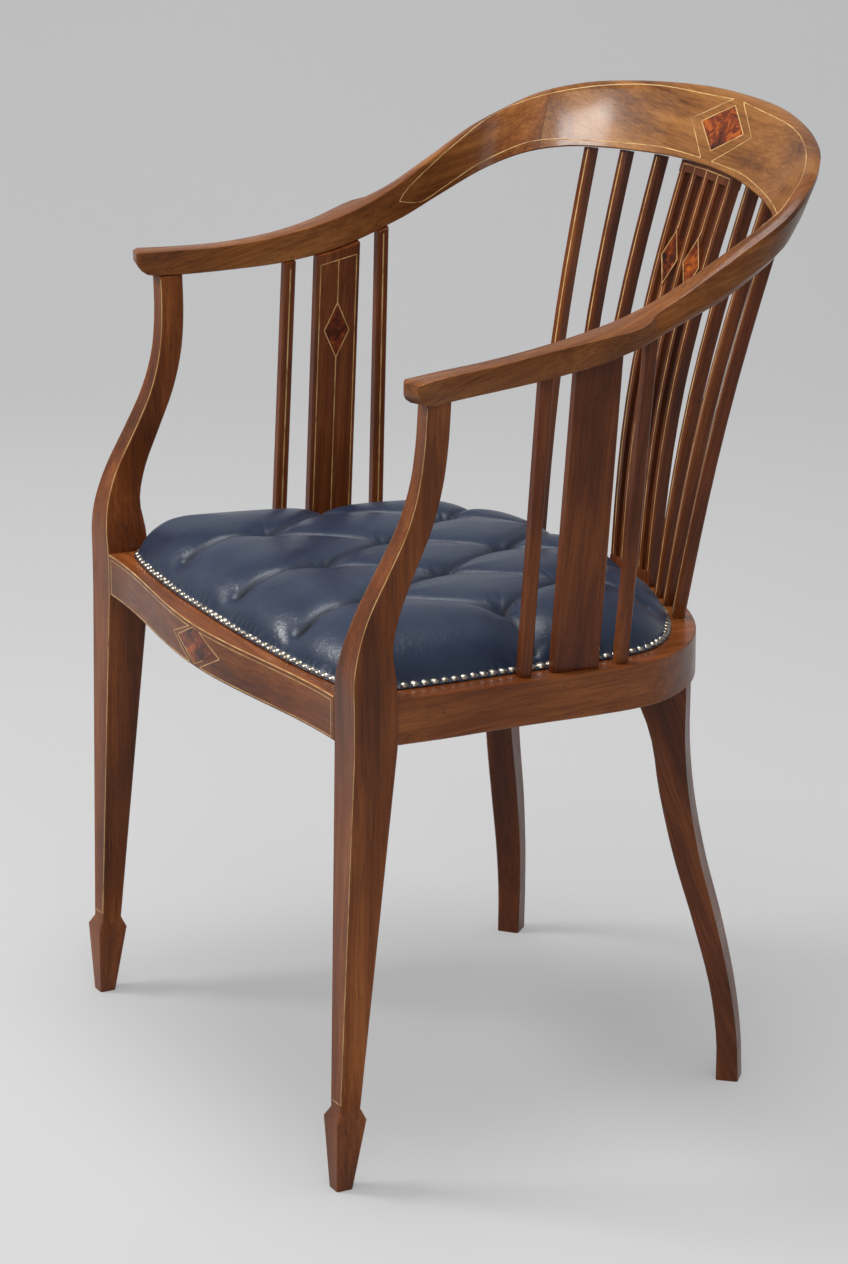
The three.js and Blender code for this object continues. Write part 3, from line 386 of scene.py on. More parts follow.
SIDES = {"left": 1, "right": -1}
for side, way in SIDES.items():
    dressed(f"leg_front_{side}", (0, 0, 1), RED)
    dressed(f"leg_back_{side}", (0.3 * way, 0.25, -1), DARK)
    dressed(f"seat_rail_{side}", (-0.1 * way, 1, 0), RED)
    dressed(f"arm_{side}", (-0.1 * way, 1, 0.25), ARM, degrees=22)
    dressed(f"side_slat_{side}", (0, 0.1, 1), DARK)
    for place in ("front", "rear"):
        dressed(f"side_spindle_{place}_{side}", (0, 0.1, 1), DARK)
    for number in (1, 2, 3):
        dressed(f"back_spindle_{side}_{number}", (0.1 * way, 0.2, 1), DARK)
    for place in ("front", "back"):
        dressed(f"corner_block_{place}_{side}", (1, way, 0), BLOCK)
dressed("seat_rail_front", (1, 0, 0), RED)
dressed("seat_rail_back", (1, 0, 0), RED)
dressed("crest_rail", (1, 0, 0), GOLDEN, degrees=50)
dressed("back_splat", (0, 0.2, 1), DARK)
for part in ("rail_front", "crest", "slat_left", "slat_right", "splat_left", "splat_right"):
    dressed(f"inlay_{part}", (0, 0, 1), BURR)
for number in (1, 2, 3):
    covered(f"webbing_cross_{number}", WEBBING)
    covered(f"webbing_long_{number}", WEBBING)
covered("seat_base_cloth", HESSIAN)


# Finding places on the wood, to lay stringing on
FORWARD, BACK, UP, DOWN = Vector((0, -1, 0)), Vector((0, 1, 0)), Vector((0, 0, 1)), Vector((0, 0, -1))
OUTSIDE = 0.6          # a distance that is well outside the chair
NEARLY_FACING = 0.8    # share of a face's normal that looks the wanted way
HALF_FACING = 0.5
LINE_STEP = 6 * MM


def surface(*names):
    """One tree of the named CAD nodes' faces, for finding places on them."""
    points, faces = [], []
    for name in names:
        base = len(points)
        mesh = nodes[name].data
        points.extend(vertex.co.copy() for vertex in mesh.vertices)
        faces.extend([base + i for i in polygon.vertices] for polygon in mesh.polygons)
    return BVHTree.FromPolygons(points, faces)


class Face:
    """The side of an upright piece that looks a given way, with its edges found at each height."""

    def __init__(self, node, toward):
        mesh = nodes[node].data
        toward = Vector(toward).normalized()
        total = Vector()
        for polygon in mesh.polygons:
            if polygon.normal.dot(toward) > NEARLY_FACING:
                total += polygon.normal * polygon.area
        self.out = Vector((total.x, total.y, 0)).normalized()
        self.across = Vector((0, 0, 1)).cross(self.out)
        self.edges = [[mesh.vertices[i].co.copy() for i in edge.vertices] for edge in mesh.edges]
        self.tree = surface(node)
        self.low = min(vertex.co.z for vertex in mesh.vertices)
        self.high = max(vertex.co.z for vertex in mesh.vertices)

    def sides(self, z):
        """The lowest and highest reach across the piece at a height."""
        reach = []
        for a, b in self.edges:
            if (a.z - z) * (b.z - z) < 0:
                reach.append(a.lerp(b, (z - a.z) / (b.z - a.z)).dot(self.across))
        return min(reach), max(reach)

    def at(self, reach, z):
        """The place on the face at a distance across and a height, with the way it looks there."""
        start = self.across * reach + self.out * OUTSIDE + Vector((0, 0, z))
        place, normal, _, _ = self.tree.ray_cast(start, -self.out)
        return (place, normal) if place and normal.dot(self.out) > HALF_FACING else None

    def line(self, low, high, share=None, inset=None, step=LINE_STEP):
        """Places up the face, at a share of the half width or an inset from the edge that its sign names."""
        found = []
        count = max(2, round((high - low) / step))
        for i in range(count + 1):
            z = low + (high - low) * i / count
            first, last = self.sides(z)
            if share is not None:
                reach = (first + last) / 2 + share * (last - first) / 2
            else:
                reach = first + inset if inset > 0 else last + inset
            found.append(self.at(reach, z))
        return [item for item in found if item]


# Stringing: fine pale lines, a hair proud of the wood
LINE_WIDTH = 0.95 * MM
LEG_LINE_WIDTH = 0.75 * MM
RAIL_LINE_WIDTH = 0.85 * MM
SPINDLE_LINE_WIDTH = 1.3 * MM
LINE_PROUD = 0.2 * MM
LINE_SHOULDER = 0.6    # height of the strip's shoulders, as a share of LINE_PROUD
SHOULDER_REACH = 0.96  # and their reach, as a share of its half width
LINE_SUNK = 0.25 * MM
MITRE_LIMIT = 2.2
BORDER_GAP = 0.9 * MM  # from a lozenge's corners to its border's corners
BORDER_STEP = 4 * MM


def joined(made, lower, upper):
    """Faces between two closed rings of corners."""
    for k in range(len(lower)):
        n = (k + 1) % len(lower)
        made.faces.new((lower[k], lower[n], upper[n], upper[k]))


def stringing(name, lines, width=LINE_WIDTH, material=STRING, taper=0.0):
    """Thin strips along lists of (place, way the surface looks there), narrower in the middle by a share."""
    made = bmesh.new()
    for line in lines:
        rings = []
        for i, (place, normal) in enumerate(line):
            before = line[max(i - 1, 0)][0]
            after = line[min(i + 1, len(line) - 1)][0]
            along = (after - before).normalized()
            side = normal.cross(along).normalized()
            stretch = 1.0
            if 0 < i < len(line) - 1:
                turn = (place - before).angle(after - place, 0.0)
                stretch = min(1 / max(math.cos(turn / 2), 0.3), MITRE_LIMIT)
            middle = 1 - abs(2 * i / (len(line) - 1) - 1)
            half = side * width / 2 * stretch * (1 - taper * middle)
            shoulder = normal * LINE_PROUD * LINE_SHOULDER
            rings.append([made.verts.new(place + offset) for offset in (
                half - normal * LINE_SUNK,
                half * SHOULDER_REACH + shoulder,
                normal * LINE_PROUD,
                shoulder - half * SHOULDER_REACH,
                -half - normal * LINE_SUNK,
            )])
        for lower, upper in zip(rings, rings[1:]):
            joined(made, lower, upper)
        made.faces.new(rings[0][::-1])
        made.faces.new(rings[-1])
    bmesh.ops.recalc_face_normals(made, faces=made.faces)
    mesh = bpy.data.meshes.new(name)
    made.to_mesh(mesh)
    made.free()
    placed(name, mesh, material)


def mirrored(line):
    """The same line on the chair's other side."""
    flip = Vector((-1, 1, 1))
    return [(place * flip, normal * flip) for place, normal in line]


def stretched(points, step):
    """Places at even steps along straight stretches between points."""
    places = [Vector(points[0])]
    for a, b in zip(points, points[1:]):
        a, b = Vector(a), Vector(b)
        count = max(1, round((b - a).length / step))
        places.extend(a.lerp(b, i / count) for i in range(1, count + 1))
    return places


def rounded(points, step):
    """Places at even steps along a smooth curve through points."""
    points = [Vector(p) for p in points]
    places = [points[0]]
    for i in range(len(points) - 1):
        p0, p1 = points[max(i - 1, 0)], points[i]
        p2, p3 = points[i + 1], points[min(i + 2, len(points) - 1)]
        count = max(2, round((p2 - p1).length / step))
        for k in range(1, count + 1):
            t = k / count
            places.append(0.5 * (
                2 * p1 + (p2 - p0) * t + (2 * p0 - 5 * p1 + 4 * p2 - p3) * t * t
                + (3 * p1 - p0 - 3 * p2 + p3) * t ** 3
            ))
    return places


def laid(tree, places):
    """Places moved to the nearest point of a surface, with the way it looks there."""
    found = []
    for place in places:
        spot, normal, _, _ = tree.find_nearest(place)
        found.append((spot, normal))
    return found


def lozenge(node, outward):
    """The corners of the border round a let-in lozenge's face: top, right, bottom, left."""
    mesh = nodes[node].data
    outward = Vector(outward)
    outward = max(mesh.polygons, key=lambda face: face.area * face.normal.dot(outward)).normal.copy()
    level = Vector((0, 0, 1)).cross(outward).normalized()
    steep = outward.cross(level)
    spots = [vertex.co.copy() for vertex in mesh.vertices]
    middle = sum(spots, Vector()) / len(spots)
    front = [p for p in spots if (p - middle).dot(outward) > 0]
    corners = []
    for way in (steep, level, -steep, -level):
        corner = max(front, key=lambda p: p.dot(way))
        corners.append(corner + (corner - middle).normalized() * BORDER_GAP)
    return corners


def ringed(corners, outward):
    """The four straight lines of a lozenge's border, flat on the lozenge's own face."""
    normal = (corners[0] - corners[2]).cross(corners[1] - corners[3]).normalized()
    if normal.dot(Vector(outward)) < 0:
        normal = -normal
    pairs = zip(corners, corners[1:] + corners[:1])
    return [[(spot, normal) for spot in stretched((a, b), BORDER_STEP)] for a, b in pairs]


# Crest and arms: one long pointed panel on each half, and a lozenge in the middle
# The far half's lines are read off the photograph, from the panel's point up to the middle, and back below
PANEL_POINT = (399.6, 201.6)
UPPER_PIXELS = (
    PANEL_POINT, (409, 187), (444, 153.6), (480, 123.5), (504.5, 109), (550, 93.5), (607, 85), (665, 86),
)
LOWER_PIXELS = (
    (655, 146), (579, 139.7), (529, 142), (480, 163), (444, 187), (421, 201.6), PANEL_POINT,
)
NOTCH_TOP = Vector((-8, 257.5, 819.8)) * MM
NOTCH_POINT = Vector((-49.5, 240, 797.5)) * MM
NOTCH_FOOT = Vector((-9, 225.3, 771)) * MM
PANEL_STEP = 5 * MM
CREST_OUT = (0, -1, 0.5)
bow_tree = surface("crest_rail", "arm_left", "arm_right")
crest_lines = [
    laid(bow_tree, rounded(seen_on(bow_tree, UPPER_PIXELS) + [NOTCH_TOP], PANEL_STEP)),
    laid(bow_tree, stretched((NOTCH_TOP, NOTCH_POINT, NOTCH_FOOT), PANEL_STEP)),
    laid(bow_tree, rounded([NOTCH_FOOT] + seen_on(bow_tree, LOWER_PIXELS), PANEL_STEP)),
]
crest_lines.extend([mirrored(line) for line in crest_lines])
crest_lines.extend(ringed(lozenge("inlay_crest", CREST_OUT), CREST_OUT))
stringing("crest_stringing", crest_lines)

# Front rail: a line at the top edge, and a panel each side with its notched end round the lozenge
RAIL_MIDDLE = 402 * MM     # a height that is on the rail's face from end to end
RAIL_ABOVE, RAIL_BELOW = 600 * MM, 200 * MM
FACE_DEPTH = 3.5 * MM      # how far behind the face the rail's top and bottom are felt for
PANEL_DROP, PANEL_RISE = 4.6 * MM, 2.6 * MM
EDGE_DROP = 0.9 * MM
RAIL_END_GAP = 5 * MM
RAIL_STEP = 5 * MM
front_tree = surface("seat_rail_front")
rail_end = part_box("seat_rail_front")[1][0] - RAIL_END_GAP


def front_at(x, z):
    """The place on the front rail's face, with the way it looks there."""
    place, normal, _, _ = front_tree.ray_cast(Vector((x, -OUTSIDE, z)), BACK)
    return place, normal


def front_place(x, drop=None, rise=None):
    """A place on the front rail's face, measured down from its top edge or up from its bottom edge."""
    inside = front_at(x, RAIL_MIDDLE)[0].y + FACE_DEPTH
    if drop is not None:
        z = front_tree.ray_cast(Vector((x, inside, RAIL_ABOVE)), DOWN)[0].z - drop
    else:
        z = front_tree.ray_cast(Vector((x, inside, RAIL_BELOW)), UP)[0].z + rise
    return front_at(x, z)


def front_line(a, b):
    """A line on the front rail between two (x, share of the way up the panel) places."""
    count = max(1, round(abs(b[0] - a[0]) / RAIL_STEP), round(abs(b[1] - a[1]) * 6))
    line = []
    for i in range(count + 1):
        x = a[0] + (b[0] - a[0]) * i / count
        share = a[1] + (b[1] - a[1]) * i / count
        top = front_place(x, drop=PANEL_DROP)[0].z
        bottom = front_place(x, rise=PANEL_RISE)[0].z
        line.append(front_at(x, bottom + (top - bottom) * share))
    return line


NOTCH_TIP, NOTCH_MOUTH, NOTCH_SHARE = 45.6 * MM, 10 * MM, 0.55
TOP_LINE_REACH, TOP_LINE_STEPS = 4 * MM, 40
rail_lines = [
    front_line((rail_end, 1), (NOTCH_MOUTH, 1)),
    front_line((NOTCH_MOUTH, 1), (NOTCH_TIP, NOTCH_SHARE)),
    front_line((NOTCH_TIP, NOTCH_SHARE), (NOTCH_MOUTH, 0)),
    front_line((NOTCH_MOUTH, 0), (rail_end, 0)),
    front_line((rail_end, 0), (rail_end, 1)),
]
rail_lines.extend([mirrored(line) for line in rail_lines])
rail_lines.append([
    front_place((i / TOP_LINE_STEPS * 2 - 1) * (rail_end + TOP_LINE_REACH), drop=EDGE_DROP)
    for i in range(TOP_LINE_STEPS + 1)
])
for border in ringed(lozenge("inlay_rail_front", FORWARD), FORWARD):
    rail_lines.append([(front_tree.find_nearest(spot)[0], normal) for spot, normal in border])
stringing("rail_stringing", rail_lines, RAIL_LINE_WIDTH)

# Front legs: a line down each edge of the front, joined above the ankle
ANKLE_LINE = 77.5 * MM
LEG_INSET, LEG_TOP_GAP = 0.95 * MM, 3 * MM
ANKLE_SHARES = (0.03, 0.25, 0.5, 0.75, 0.97)
for side in SIDES:
    face = Face(f"leg_front_{side}", FORWARD)
    leg_lines = [
        face.line(ANKLE_LINE, face.high - LEG_TOP_GAP, inset=inset) for inset in (LEG_INSET, -LEG_INSET)
    ]
    first, last = face.sides(ANKLE_LINE)
    leg_lines.append([face.at(first + (last - first) * share, ANKLE_LINE) for share in ANKLE_SHARES])
    stringing(f"leg_stringing_{side}", leg_lines, LEG_LINE_WIDTH)

# Spindles: one line up the middle of the face that looks into the chair
SPINDLE_FOOT_GAP, SIDE_HEAD_GAP, BACK_HEAD_GAP = 1 * MM, 1.5 * MM, 2 * MM
SITTER = -50 * MM          # where the back spindles look, from front to back
spindle_lines = []
for side, way in SIDES.items():
    for place in ("front", "rear"):
        face = Face(f"side_spindle_{place}_{side}", (-way, 0, 0))
        spindle_lines.append(face.line(face.low + SPINDLE_FOOT_GAP, face.high - SIDE_HEAD_GAP, share=0))
    for number in (1, 2, 3):
        node = f"back_spindle_{side}_{number}"
        low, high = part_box(node)
        face = Face(node, (-(low[0] + high[0]) / 2, SITTER - (low[1] + high[1]) / 2, 0))
        spindle_lines.append(face.line(face.low + SPINDLE_FOOT_GAP, face.high - BACK_HEAD_GAP, share=0))
stringing("spindle_stringing", spindle_lines, SPINDLE_LINE_WIDTH)

# Side slats: a border, a line up the middle, and a lozenge on it
SLAT_INSET, SLAT_FOOT_GAP, SLAT_HEAD_GAP = 3.6 * MM, 12 * MM, 8 * MM
BELOW_HEAD = 40 * MM       # where the slat's full width is measured, under its shaped head
FEELER = 0.5 * MM


def top_of(place_at, high, low):
    """The highest place, in small steps down from a height, at which a face is met."""
    for i in range(int((high - low) / FEELER)):
        if place_at(high - i * FEELER):
            return high - i * FEELER
    return low


for side, way in SIDES.items():
    face = Face(f"side_slat_{side}", (-way, 0, 0))
    corners = lozenge(f"inlay_slat_{side}", (-way, 0, 0))
    bottom = face.low + SLAT_FOOT_GAP
    first, last = face.sides(face.high - BELOW_HEAD)
    tops = []
    for reach in (first + SLAT_INSET, last - SLAT_INSET):
        tops.append(top_of(lambda z: face.at(reach, z), face.high, bottom) - SLAT_HEAD_GAP)
    lines = [face.line(bottom, tops[0], inset=SLAT_INSET), face.line(bottom, tops[1], inset=-SLAT_INSET)]
    middle_top = (tops[0] + tops[1]) / 2
    lines.append(face.line(corners[0].z, middle_top, share=0))
    lines.append(face.line(bottom, corners[2].z, share=0))
    for ends in ((lines[0][-1][0], lines[1][-1][0]), (lines[0][0][0], lines[1][0][0])):
        lines.append(laid(face.tree, stretched(ends, LINE_STEP)))
    lines.extend(ringed(corners, (-way, 0, 0)))
    stringing(f"slat_stringing_{side}", lines)

# Splat: a line up each bar, across the head, and round the two lozenges
SPLAT_BAR_HALF = 4.1 * MM
LOW_CUT, HIGH_CUT = 500 * MM, 600 * MM     # heights at which the bars' places are measured
SPLAT_FOOT_GAP, SPLAT_HEAD_GAP = 14 * MM, 3.2 * MM
SPLAT_AHEAD = 300 * MM
SPLAT_OUT, SPLAT_INLAY_OUT = (0, -1, 0.2), (0, -1, 0.15)
BAR_SHARES = (-1, -0.5, 0, 0.5, 1)         # of the way from the middle to the outer bars
splat_face = Face("back_splat", SPLAT_OUT)


def outer_bar(z):
    """How far the middle of the splat's outer bars is from the chair's middle, at a height."""
    first, last = splat_face.sides(z)
    return (last - first) / 2 - SPLAT_BAR_HALF


def splat_place(x, z):
    """The place on the splat's front, with the way it looks there."""
    place, normal, _, _ = splat_face.tree.ray_cast(Vector((x, -SPLAT_AHEAD, z)), BACK)
    return (place, normal) if place else None


low_bar, high_bar = outer_bar(LOW_CUT), outer_bar(HIGH_CUT)


def bar_x(share, z):
    """The middle of a bar, at a height."""
    return share * (low_bar + (high_bar - low_bar) * (z - LOW_CUT) / (HIGH_CUT - LOW_CUT))


def bar_line(share, low, high):
    """A line up the middle of a bar."""
    count = max(2, round((high - low) / LINE_STEP))
    heights = [low + (high - low) * i / count for i in range(count + 1)]
    return [item for item in (splat_place(bar_x(share, z), z) for z in heights) if item]


splat_corners = {
    -0.5: lozenge("inlay_splat_right", SPLAT_INLAY_OUT),
    0.5: lozenge("inlay_splat_left", SPLAT_INLAY_OUT),
}
splat_lines, head_ends = [], []
for share in BAR_SHARES:
    x_top = bar_x(share, splat_face.high)
    z_top = top_of(lambda z: splat_place(x_top, z), splat_face.high, HIGH_CUT) - SPLAT_HEAD_GAP
    z_low = splat_face.low + SPLAT_FOOT_GAP
    if share in splat_corners:
        corners = splat_corners[share]
        splat_lines.append(bar_line(share, z_low, corners[2].z))
        splat_lines.append(bar_line(share, corners[0].z, z_top))
        splat_lines.extend(ringed(corners, SPLAT_OUT))
    else:
        splat_lines.append(bar_line(share, z_low, z_top))
        head_ends.append(splat_lines[-1][-1][0])
splat_lines.append(laid(splat_face.tree, stretched(head_ends, LINE_STEP)))
stringing("splat_stringing", splat_lines)


# Seat: a leather cushion drawn in at twelve buttons, nailed to the rails round its edge
PAD_HALF = (
    (0, -246), (85, -243.8), (147, -239), (188, -232.5), (206, -227.5), (217, -217.5), (222, -203),
    (223.5, -185), (222, -150), (219, -114), (216, -75), (213, -35), (208, 13), (203.7, 37), (198, 54),
    (187.5, 71), (173, 86), (153, 101), (128, 115), (100, 126), (62, 134.5), (0, 139),
)
PAD_CORNER, PAD_TURN = 5, 17           # the outline's points at its front and back corners
EDGE_POINT_STEP = 2 * MM
NAIL_STEP = 9.4 * MM
RAIL_FRONT, RAIL_FRONT_TOP, RAIL_FALL = -262 * MM, 422 * MM, 0.0473
EDGE_RISE, LEAST_RISE = 2.4 * MM, 1.5 * MM
CROWN = 44 * MM
SHOULDER = 80 * MM
SHOULDER_POWER, CROWN_POWER = 2.2, 0.6
VALLEY = 42 * MM
VALLEY_MIDDLE, VALLEY_END, VALLEY_FADE = 7 * MM, 9 * MM, 20 * MM
# SHADE_HALF is the half width of the painted shade along each crease
GROOVE_DEPTH, GROOVE_HALF, SHADE_HALF = 2 * MM, 2.9 * MM, 4.2 * MM
GROOVE_START, GROOVE_FADE = 4 * MM, 30 * MM
WELL_REACH, WELL_FLOOR, WELL_FADE = 70 * MM, 6 * MM, 8.5 * MM
WELL_SHARE = 0.95                      # of the crown's height, where the wells start
BUTTON_LIFT = 1.5 * MM
PLEATS = 9
PLEAT_DEPTH, PLEAT_HALF, PLEAT_START, PLEAT_REACH = 1.3 * MM, 2.2 * MM, 8 * MM, 20 * MM
PLEAT_LENGTHS, PLEAT_STRENGTHS = (9, 24), (0.5, 1.0)
ROW_GAP, COLUMN_GAP = (20 * MM, 100 * MM), 70 * MM   # between buttons that a fold joins
EDGE_FOLD_FROM, EDGE_FOLD_SHARE = 105 * MM, 0.8


def rail_level(y):
    """The height of the rails' top, which falls towards the back."""
    return RAIL_FRONT_TOP - (y - RAIL_FRONT) * RAIL_FALL


def evened(places, count):
    """The same number of places at equal steps along a path."""
    lengths = [0.0]
    for a, b in zip(places, places[1:]):
        lengths.append(lengths[-1] + (b - a).length)
    even, k = [], 0
    for i in range(count + 1):
        want = lengths[-1] * i / count
        while k < len(lengths) - 2 and lengths[k + 1] < want:
            k += 1
        span = max(lengths[k + 1] - lengths[k], 1e-9)
        even.append(places[k].lerp(places[k + 1], (want - lengths[k]) / span))
    return even


def on_seat(points):
    """Places in plan, from millimetres."""
    return [Vector((x * MM, y * MM, 0)) for x, y in points]


def across_chair(places):
    """The same places on the chair's other side."""
    return [Vector((-p.x, p.y, p.z)) for p in places]


half_edge = rounded(on_seat(PAD_HALF), EDGE_POINT_STEP)
whole_edge = half_edge + across_chair(half_edge)[::-1][1:-1]
edge_tree = KDTree(len(whole_edge))
for i, p in enumerate(whole_edge):
    edge_tree.insert(p, i)
edge_tree.balance()


def from_edge(x, y):
    """How far a place on the seat is from the leather's edge."""
    return edge_tree.find(Vector((x, y, 0)))[2]


# Buttons: where each is, and the height of its underside; small pleats run out from it
BUTTON_COUNT = 12
tufts = []
for number in range(1, BUTTON_COUNT + 1):
    low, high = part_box(f"seat_button_{number:02d}")
    tufts.append((Vector(((low[0] + high[0]) / 2, (low[1] + high[1]) / 2, 0)), low[2]))
pleats = []
for _ in tufts:
    pleats.append([
        (draw.uniform(0, math.tau), draw.uniform(*PLEAT_STRENGTHS), draw.uniform(*PLEAT_LENGTHS) * MM)
        for _ in range(PLEATS)
    ])

# Folds: from button to button, and from the outer buttons most of the way to the edge
folds = []
for i, (a, _) in enumerate(tufts):
    for b, _ in tufts[i + 1:]:
        if ROW_GAP[0] < abs(a.y - b.y) < ROW_GAP[1] and abs(a.x - b.x) < COLUMN_GAP:
            folds.append((a, b, draw.uniform(0.75, 1.15)))
for place, _ in tufts:
    if from_edge(place.x, place.y) < EDGE_FOLD_FROM:
        spot = edge_tree.find(place)[0]
        folds.append((place, place.lerp(spot, EDGE_FOLD_SHARE), draw.uniform(0.85, 1.15)))


def hump(distance, half):
    return math.exp(-(distance / half) ** 2)


def pad_height(x, y):
    """The cushion's top at a place on the seat, and how much painted shade the place gets down in the folds,
    from 0 to 1.
    """
    t = min(from_edge(x, y) / SHOULDER, 1)
    swell = (1 - (1 - t) ** SHOULDER_POWER) ** CROWN_POWER
    here = Vector((x, y, 0))
    fall, groove, shade = 0.0, 0.0, 0.0
    for a, b, depth in folds:
        run = b - a
        share = max(0.0, min(1.0, (here - a).dot(run) / run.length_squared))
        away = (here - a - run * share).length
        if away > VALLEY:
            continue
        ends = min(share, 1 - share) * run.length
        deep = depth * (VALLEY_MIDDLE + VALLEY_END * math.exp(-ends / VALLEY_FADE))
        pillow = math.sqrt(1 - (1 - away / VALLEY) ** 2)
        fall = max(fall, deep * (1 - pillow))
        reach = depth * math.exp(-max(ends - GROOVE_START, 0) / GROOVE_FADE)
        groove = max(groove, reach * hump(away, GROOVE_HALF))
        # Painted shade: how dark the leather's colour is made down in the crease
        shade = max(shade, reach * hump(away, SHADE_HALF))
    z = rail_level(y) + EDGE_RISE + CROWN * swell - fall - GROOVE_DEPTH * groove
    for (place, floor), own_pleats in zip(tufts, pleats):
        gap = here - place
        r = gap.length
        if r > WELL_REACH:
            continue
        base = rail_level(place.y) + EDGE_RISE + CROWN * WELL_SHARE - VALLEY_MIDDLE - VALLEY_END
        z -= max(base - floor - BUTTON_LIFT, 0) * math.exp(-max(r - WELL_FLOOR, 0) / WELL_FADE)
        angle = math.atan2(gap.y, gap.x)
        for heading, strength, reach in own_pleats:
            off = abs((angle - heading + math.pi) % math.tau - math.pi) * r
            if off < PLEAT_REACH:
                fade = math.exp(-r / reach) * min(r / PLEAT_START, 1)
                z -= PLEAT_DEPTH * strength * hump(off, PLEAT_HALF) * fade
    return max(z, rail_level(y) + LEAST_RISE), min(shade, 1.0)


# The leather's turned edge, as (distance outwards, height over the rail) in millimetres
HEM = ((2.4, 2.0), (3.8, 1.5), (4.1, 0.9), (3.8, 0.35), (-6, 0.3))
FINE_GRID, QUICK_GRID = (250, 212), (60, 52)


def outward(spots, k):
    """The way out of a closed path in plan, at one of its places."""
    along = spots[(k + 1) % len(spots)] - spots[k - 1]
    return Vector((along.y, -along.x, 0)).normalized()


def nearest_on_edge(point):
    """The number of the half edge's place that is nearest to one of the outline's points."""
    return min(range(len(half_edge)), key=lambda i: (half_edge[i] - point).length)


def seat_leather():
    """The leather from edge to edge, on a mesh that follows the seat's four sides."""
    wide, deep = FINE_GRID
    corners = on_seat(PAD_HALF)
    first, second = nearest_on_edge(corners[PAD_CORNER]), nearest_on_edge(corners[PAD_TURN])
    front = evened(across_chair(half_edge[:first + 1])[::-1] + half_edge[1:first + 1], wide)
    right = evened(half_edge[first:second + 1], deep)
    left = across_chair(right)
    back = evened(across_chair(half_edge[second:]) + half_edge[second:-1][::-1], wide)
    grid = []
    for j in range(deep + 1):
        v = j / deep
        row = []
        for i in range(wide + 1):
            u = i / wide
            p = front[i] * (1 - v) + back[i] * v + left[j] * (1 - u) + right[j] * u
            p -= front[0] * (1 - u) * (1 - v) + front[-1] * u * (1 - v)
            p -= back[0] * (1 - u) * v + back[-1] * u * v
            row.append(p)
        grid.append(row)
    made = bmesh.new()
    rows, fold_shades = [], []
    for row in grid:
        rows.append([])
        for p in row:
            # The second value is the painted shade down the folds at this place
            height, groove = pad_height(p.x, p.y)
            rows[-1].append(made.verts.new((p.x, p.y, height)))
            fold_shades.append(groove)
    for lower, upper in zip(rows, rows[1:]):
        for i in range(wide):
            made.faces.new((lower[i], lower[i + 1], upper[i + 1], upper[i]))
    rim = rows[0][:-1] + [row[-1] for row in rows[:-1]]
    rim += rows[-1][:0:-1] + [row[0] for row in rows[:0:-1]]
    spots = [vertex.co.copy() for vertex in rim]
    loops = [rim]
    for out, rise in HEM:
        ring = []
        for k, spot in enumerate(spots):
            p = spot + outward(spots, k) * out * MM
            ring.append(made.verts.new((p.x, p.y, rail_level(p.y) + rise * MM)))
        loops.append(ring)
    for inner, outer in zip(loops, loops[1:]):
        joined(made, outer, inner)
    made.faces.new(loops[-1])
    bmesh.ops.recalc_face_normals(made, faces=made.faces)
    for face in made.faces:
        face.smooth = True
    mesh = bpy.data.meshes.new("seat_leather")
    made.to_mesh(mesh)
    made.free()
    # The painted shade down the folds, which darkens the leather's colour
    layer = mesh.attributes.new("fold_shade", "FLOAT", "POINT")
    for i, groove in enumerate(fold_shades):
        layer.data[i].value = groove
    return mesh


cushion = placed("seat_leather", seat_leather(), HIDE)
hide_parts("seat_pad")

# Painted shadow: dull, almost black strips along the bottom of the folds
FOLD_SHADOW_WIDTH, FOLD_SHADOW_TAPER = 2.1 * MM, 0.55
FOLD_SHADOW_STEP, FOLD_SHADOW_LIFT = 4 * MM, 0.15 * MM
FOLD_SHADOW_FROM, FOLD_SHADOW_SHARE = 0.08, 0.84     # where a shadow strip starts along its crease, and how much of the crease it covers
fold_shadows = []
for start, end, _ in folds:
    count = max(6, round((end - start).length / FOLD_SHADOW_STEP))
    line = []
    for i in range(count + 1):
        p = start + (end - start) * (FOLD_SHADOW_FROM + FOLD_SHADOW_SHARE * i / count)
        line.append((Vector((p.x, p.y, pad_height(p.x, p.y)[0] + FOLD_SHADOW_LIFT)), UP))
    fold_shadows.append(line)
# The painted shadow strips, laid on the leather down the creases
stringing("seat_fold_shadows", fold_shadows, FOLD_SHADOW_WIDTH, FOLD_SHADOW, FOLD_SHADOW_TAPER)


def domed(made, at, up, rings, sides):
    """Adds a turned form, with (radius, height) rings, on a place and along a direction."""
    turn = up.to_track_quat("Z", "Y")
    spin = draw.uniform(0, math.tau)
    angles = [spin + math.tau * k / sides for k in range(sides)]
    loops = []
    for radius, height in rings[:-1]:
        corners = [Vector((radius * math.cos(angle), radius * math.sin(angle), height)) for angle in angles]
        loops.append([made.verts.new(at + turn @ corner) for corner in corners])
    tip = made.verts.new(at + turn @ Vector((0, 0, rings[-1][1])))
    made.faces.new(loops[0][::-1])
    for lower, upper in zip(loops, loops[1:]):
        joined(made, lower, upper)
    for k in range(sides):
        made.faces.new((loops[-1][k], loops[-1][(k + 1) % sides], tip))


def finished(made, name, material):
    """A smooth piece from the faces made so far."""
    for face in made.faces:
        face.smooth = True
    mesh = bpy.data.meshes.new(name)
    made.to_mesh(mesh)
    made.free()
    return placed(name, mesh, material)


BUTTON_SIDES, NAIL_SIDES = 20, 12
BUTTON_UP = Vector((0, -0.03, 1))
BUTTON_RINGS = [(r * MM, h * MM) for r, h in (
    (6.2, -1.5), (6.9, 0.2), (7.2, 1.2), (6.8, 2.6), (5.6, 3.8), (3.6, 4.7), (1.8, 5.1), (0, 5.2),
)]
for number, (place, floor) in enumerate(tufts, 1):
    made = bmesh.new()
    domed(made, Vector((place.x, place.y, floor + BUTTON_LIFT)), BUTTON_UP, BUTTON_RINGS, BUTTON_SIDES)
    button = finished(made, f"button_cover_{number:02d}", BUTTON)
    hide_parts(f"seat_button_{number:02d}")

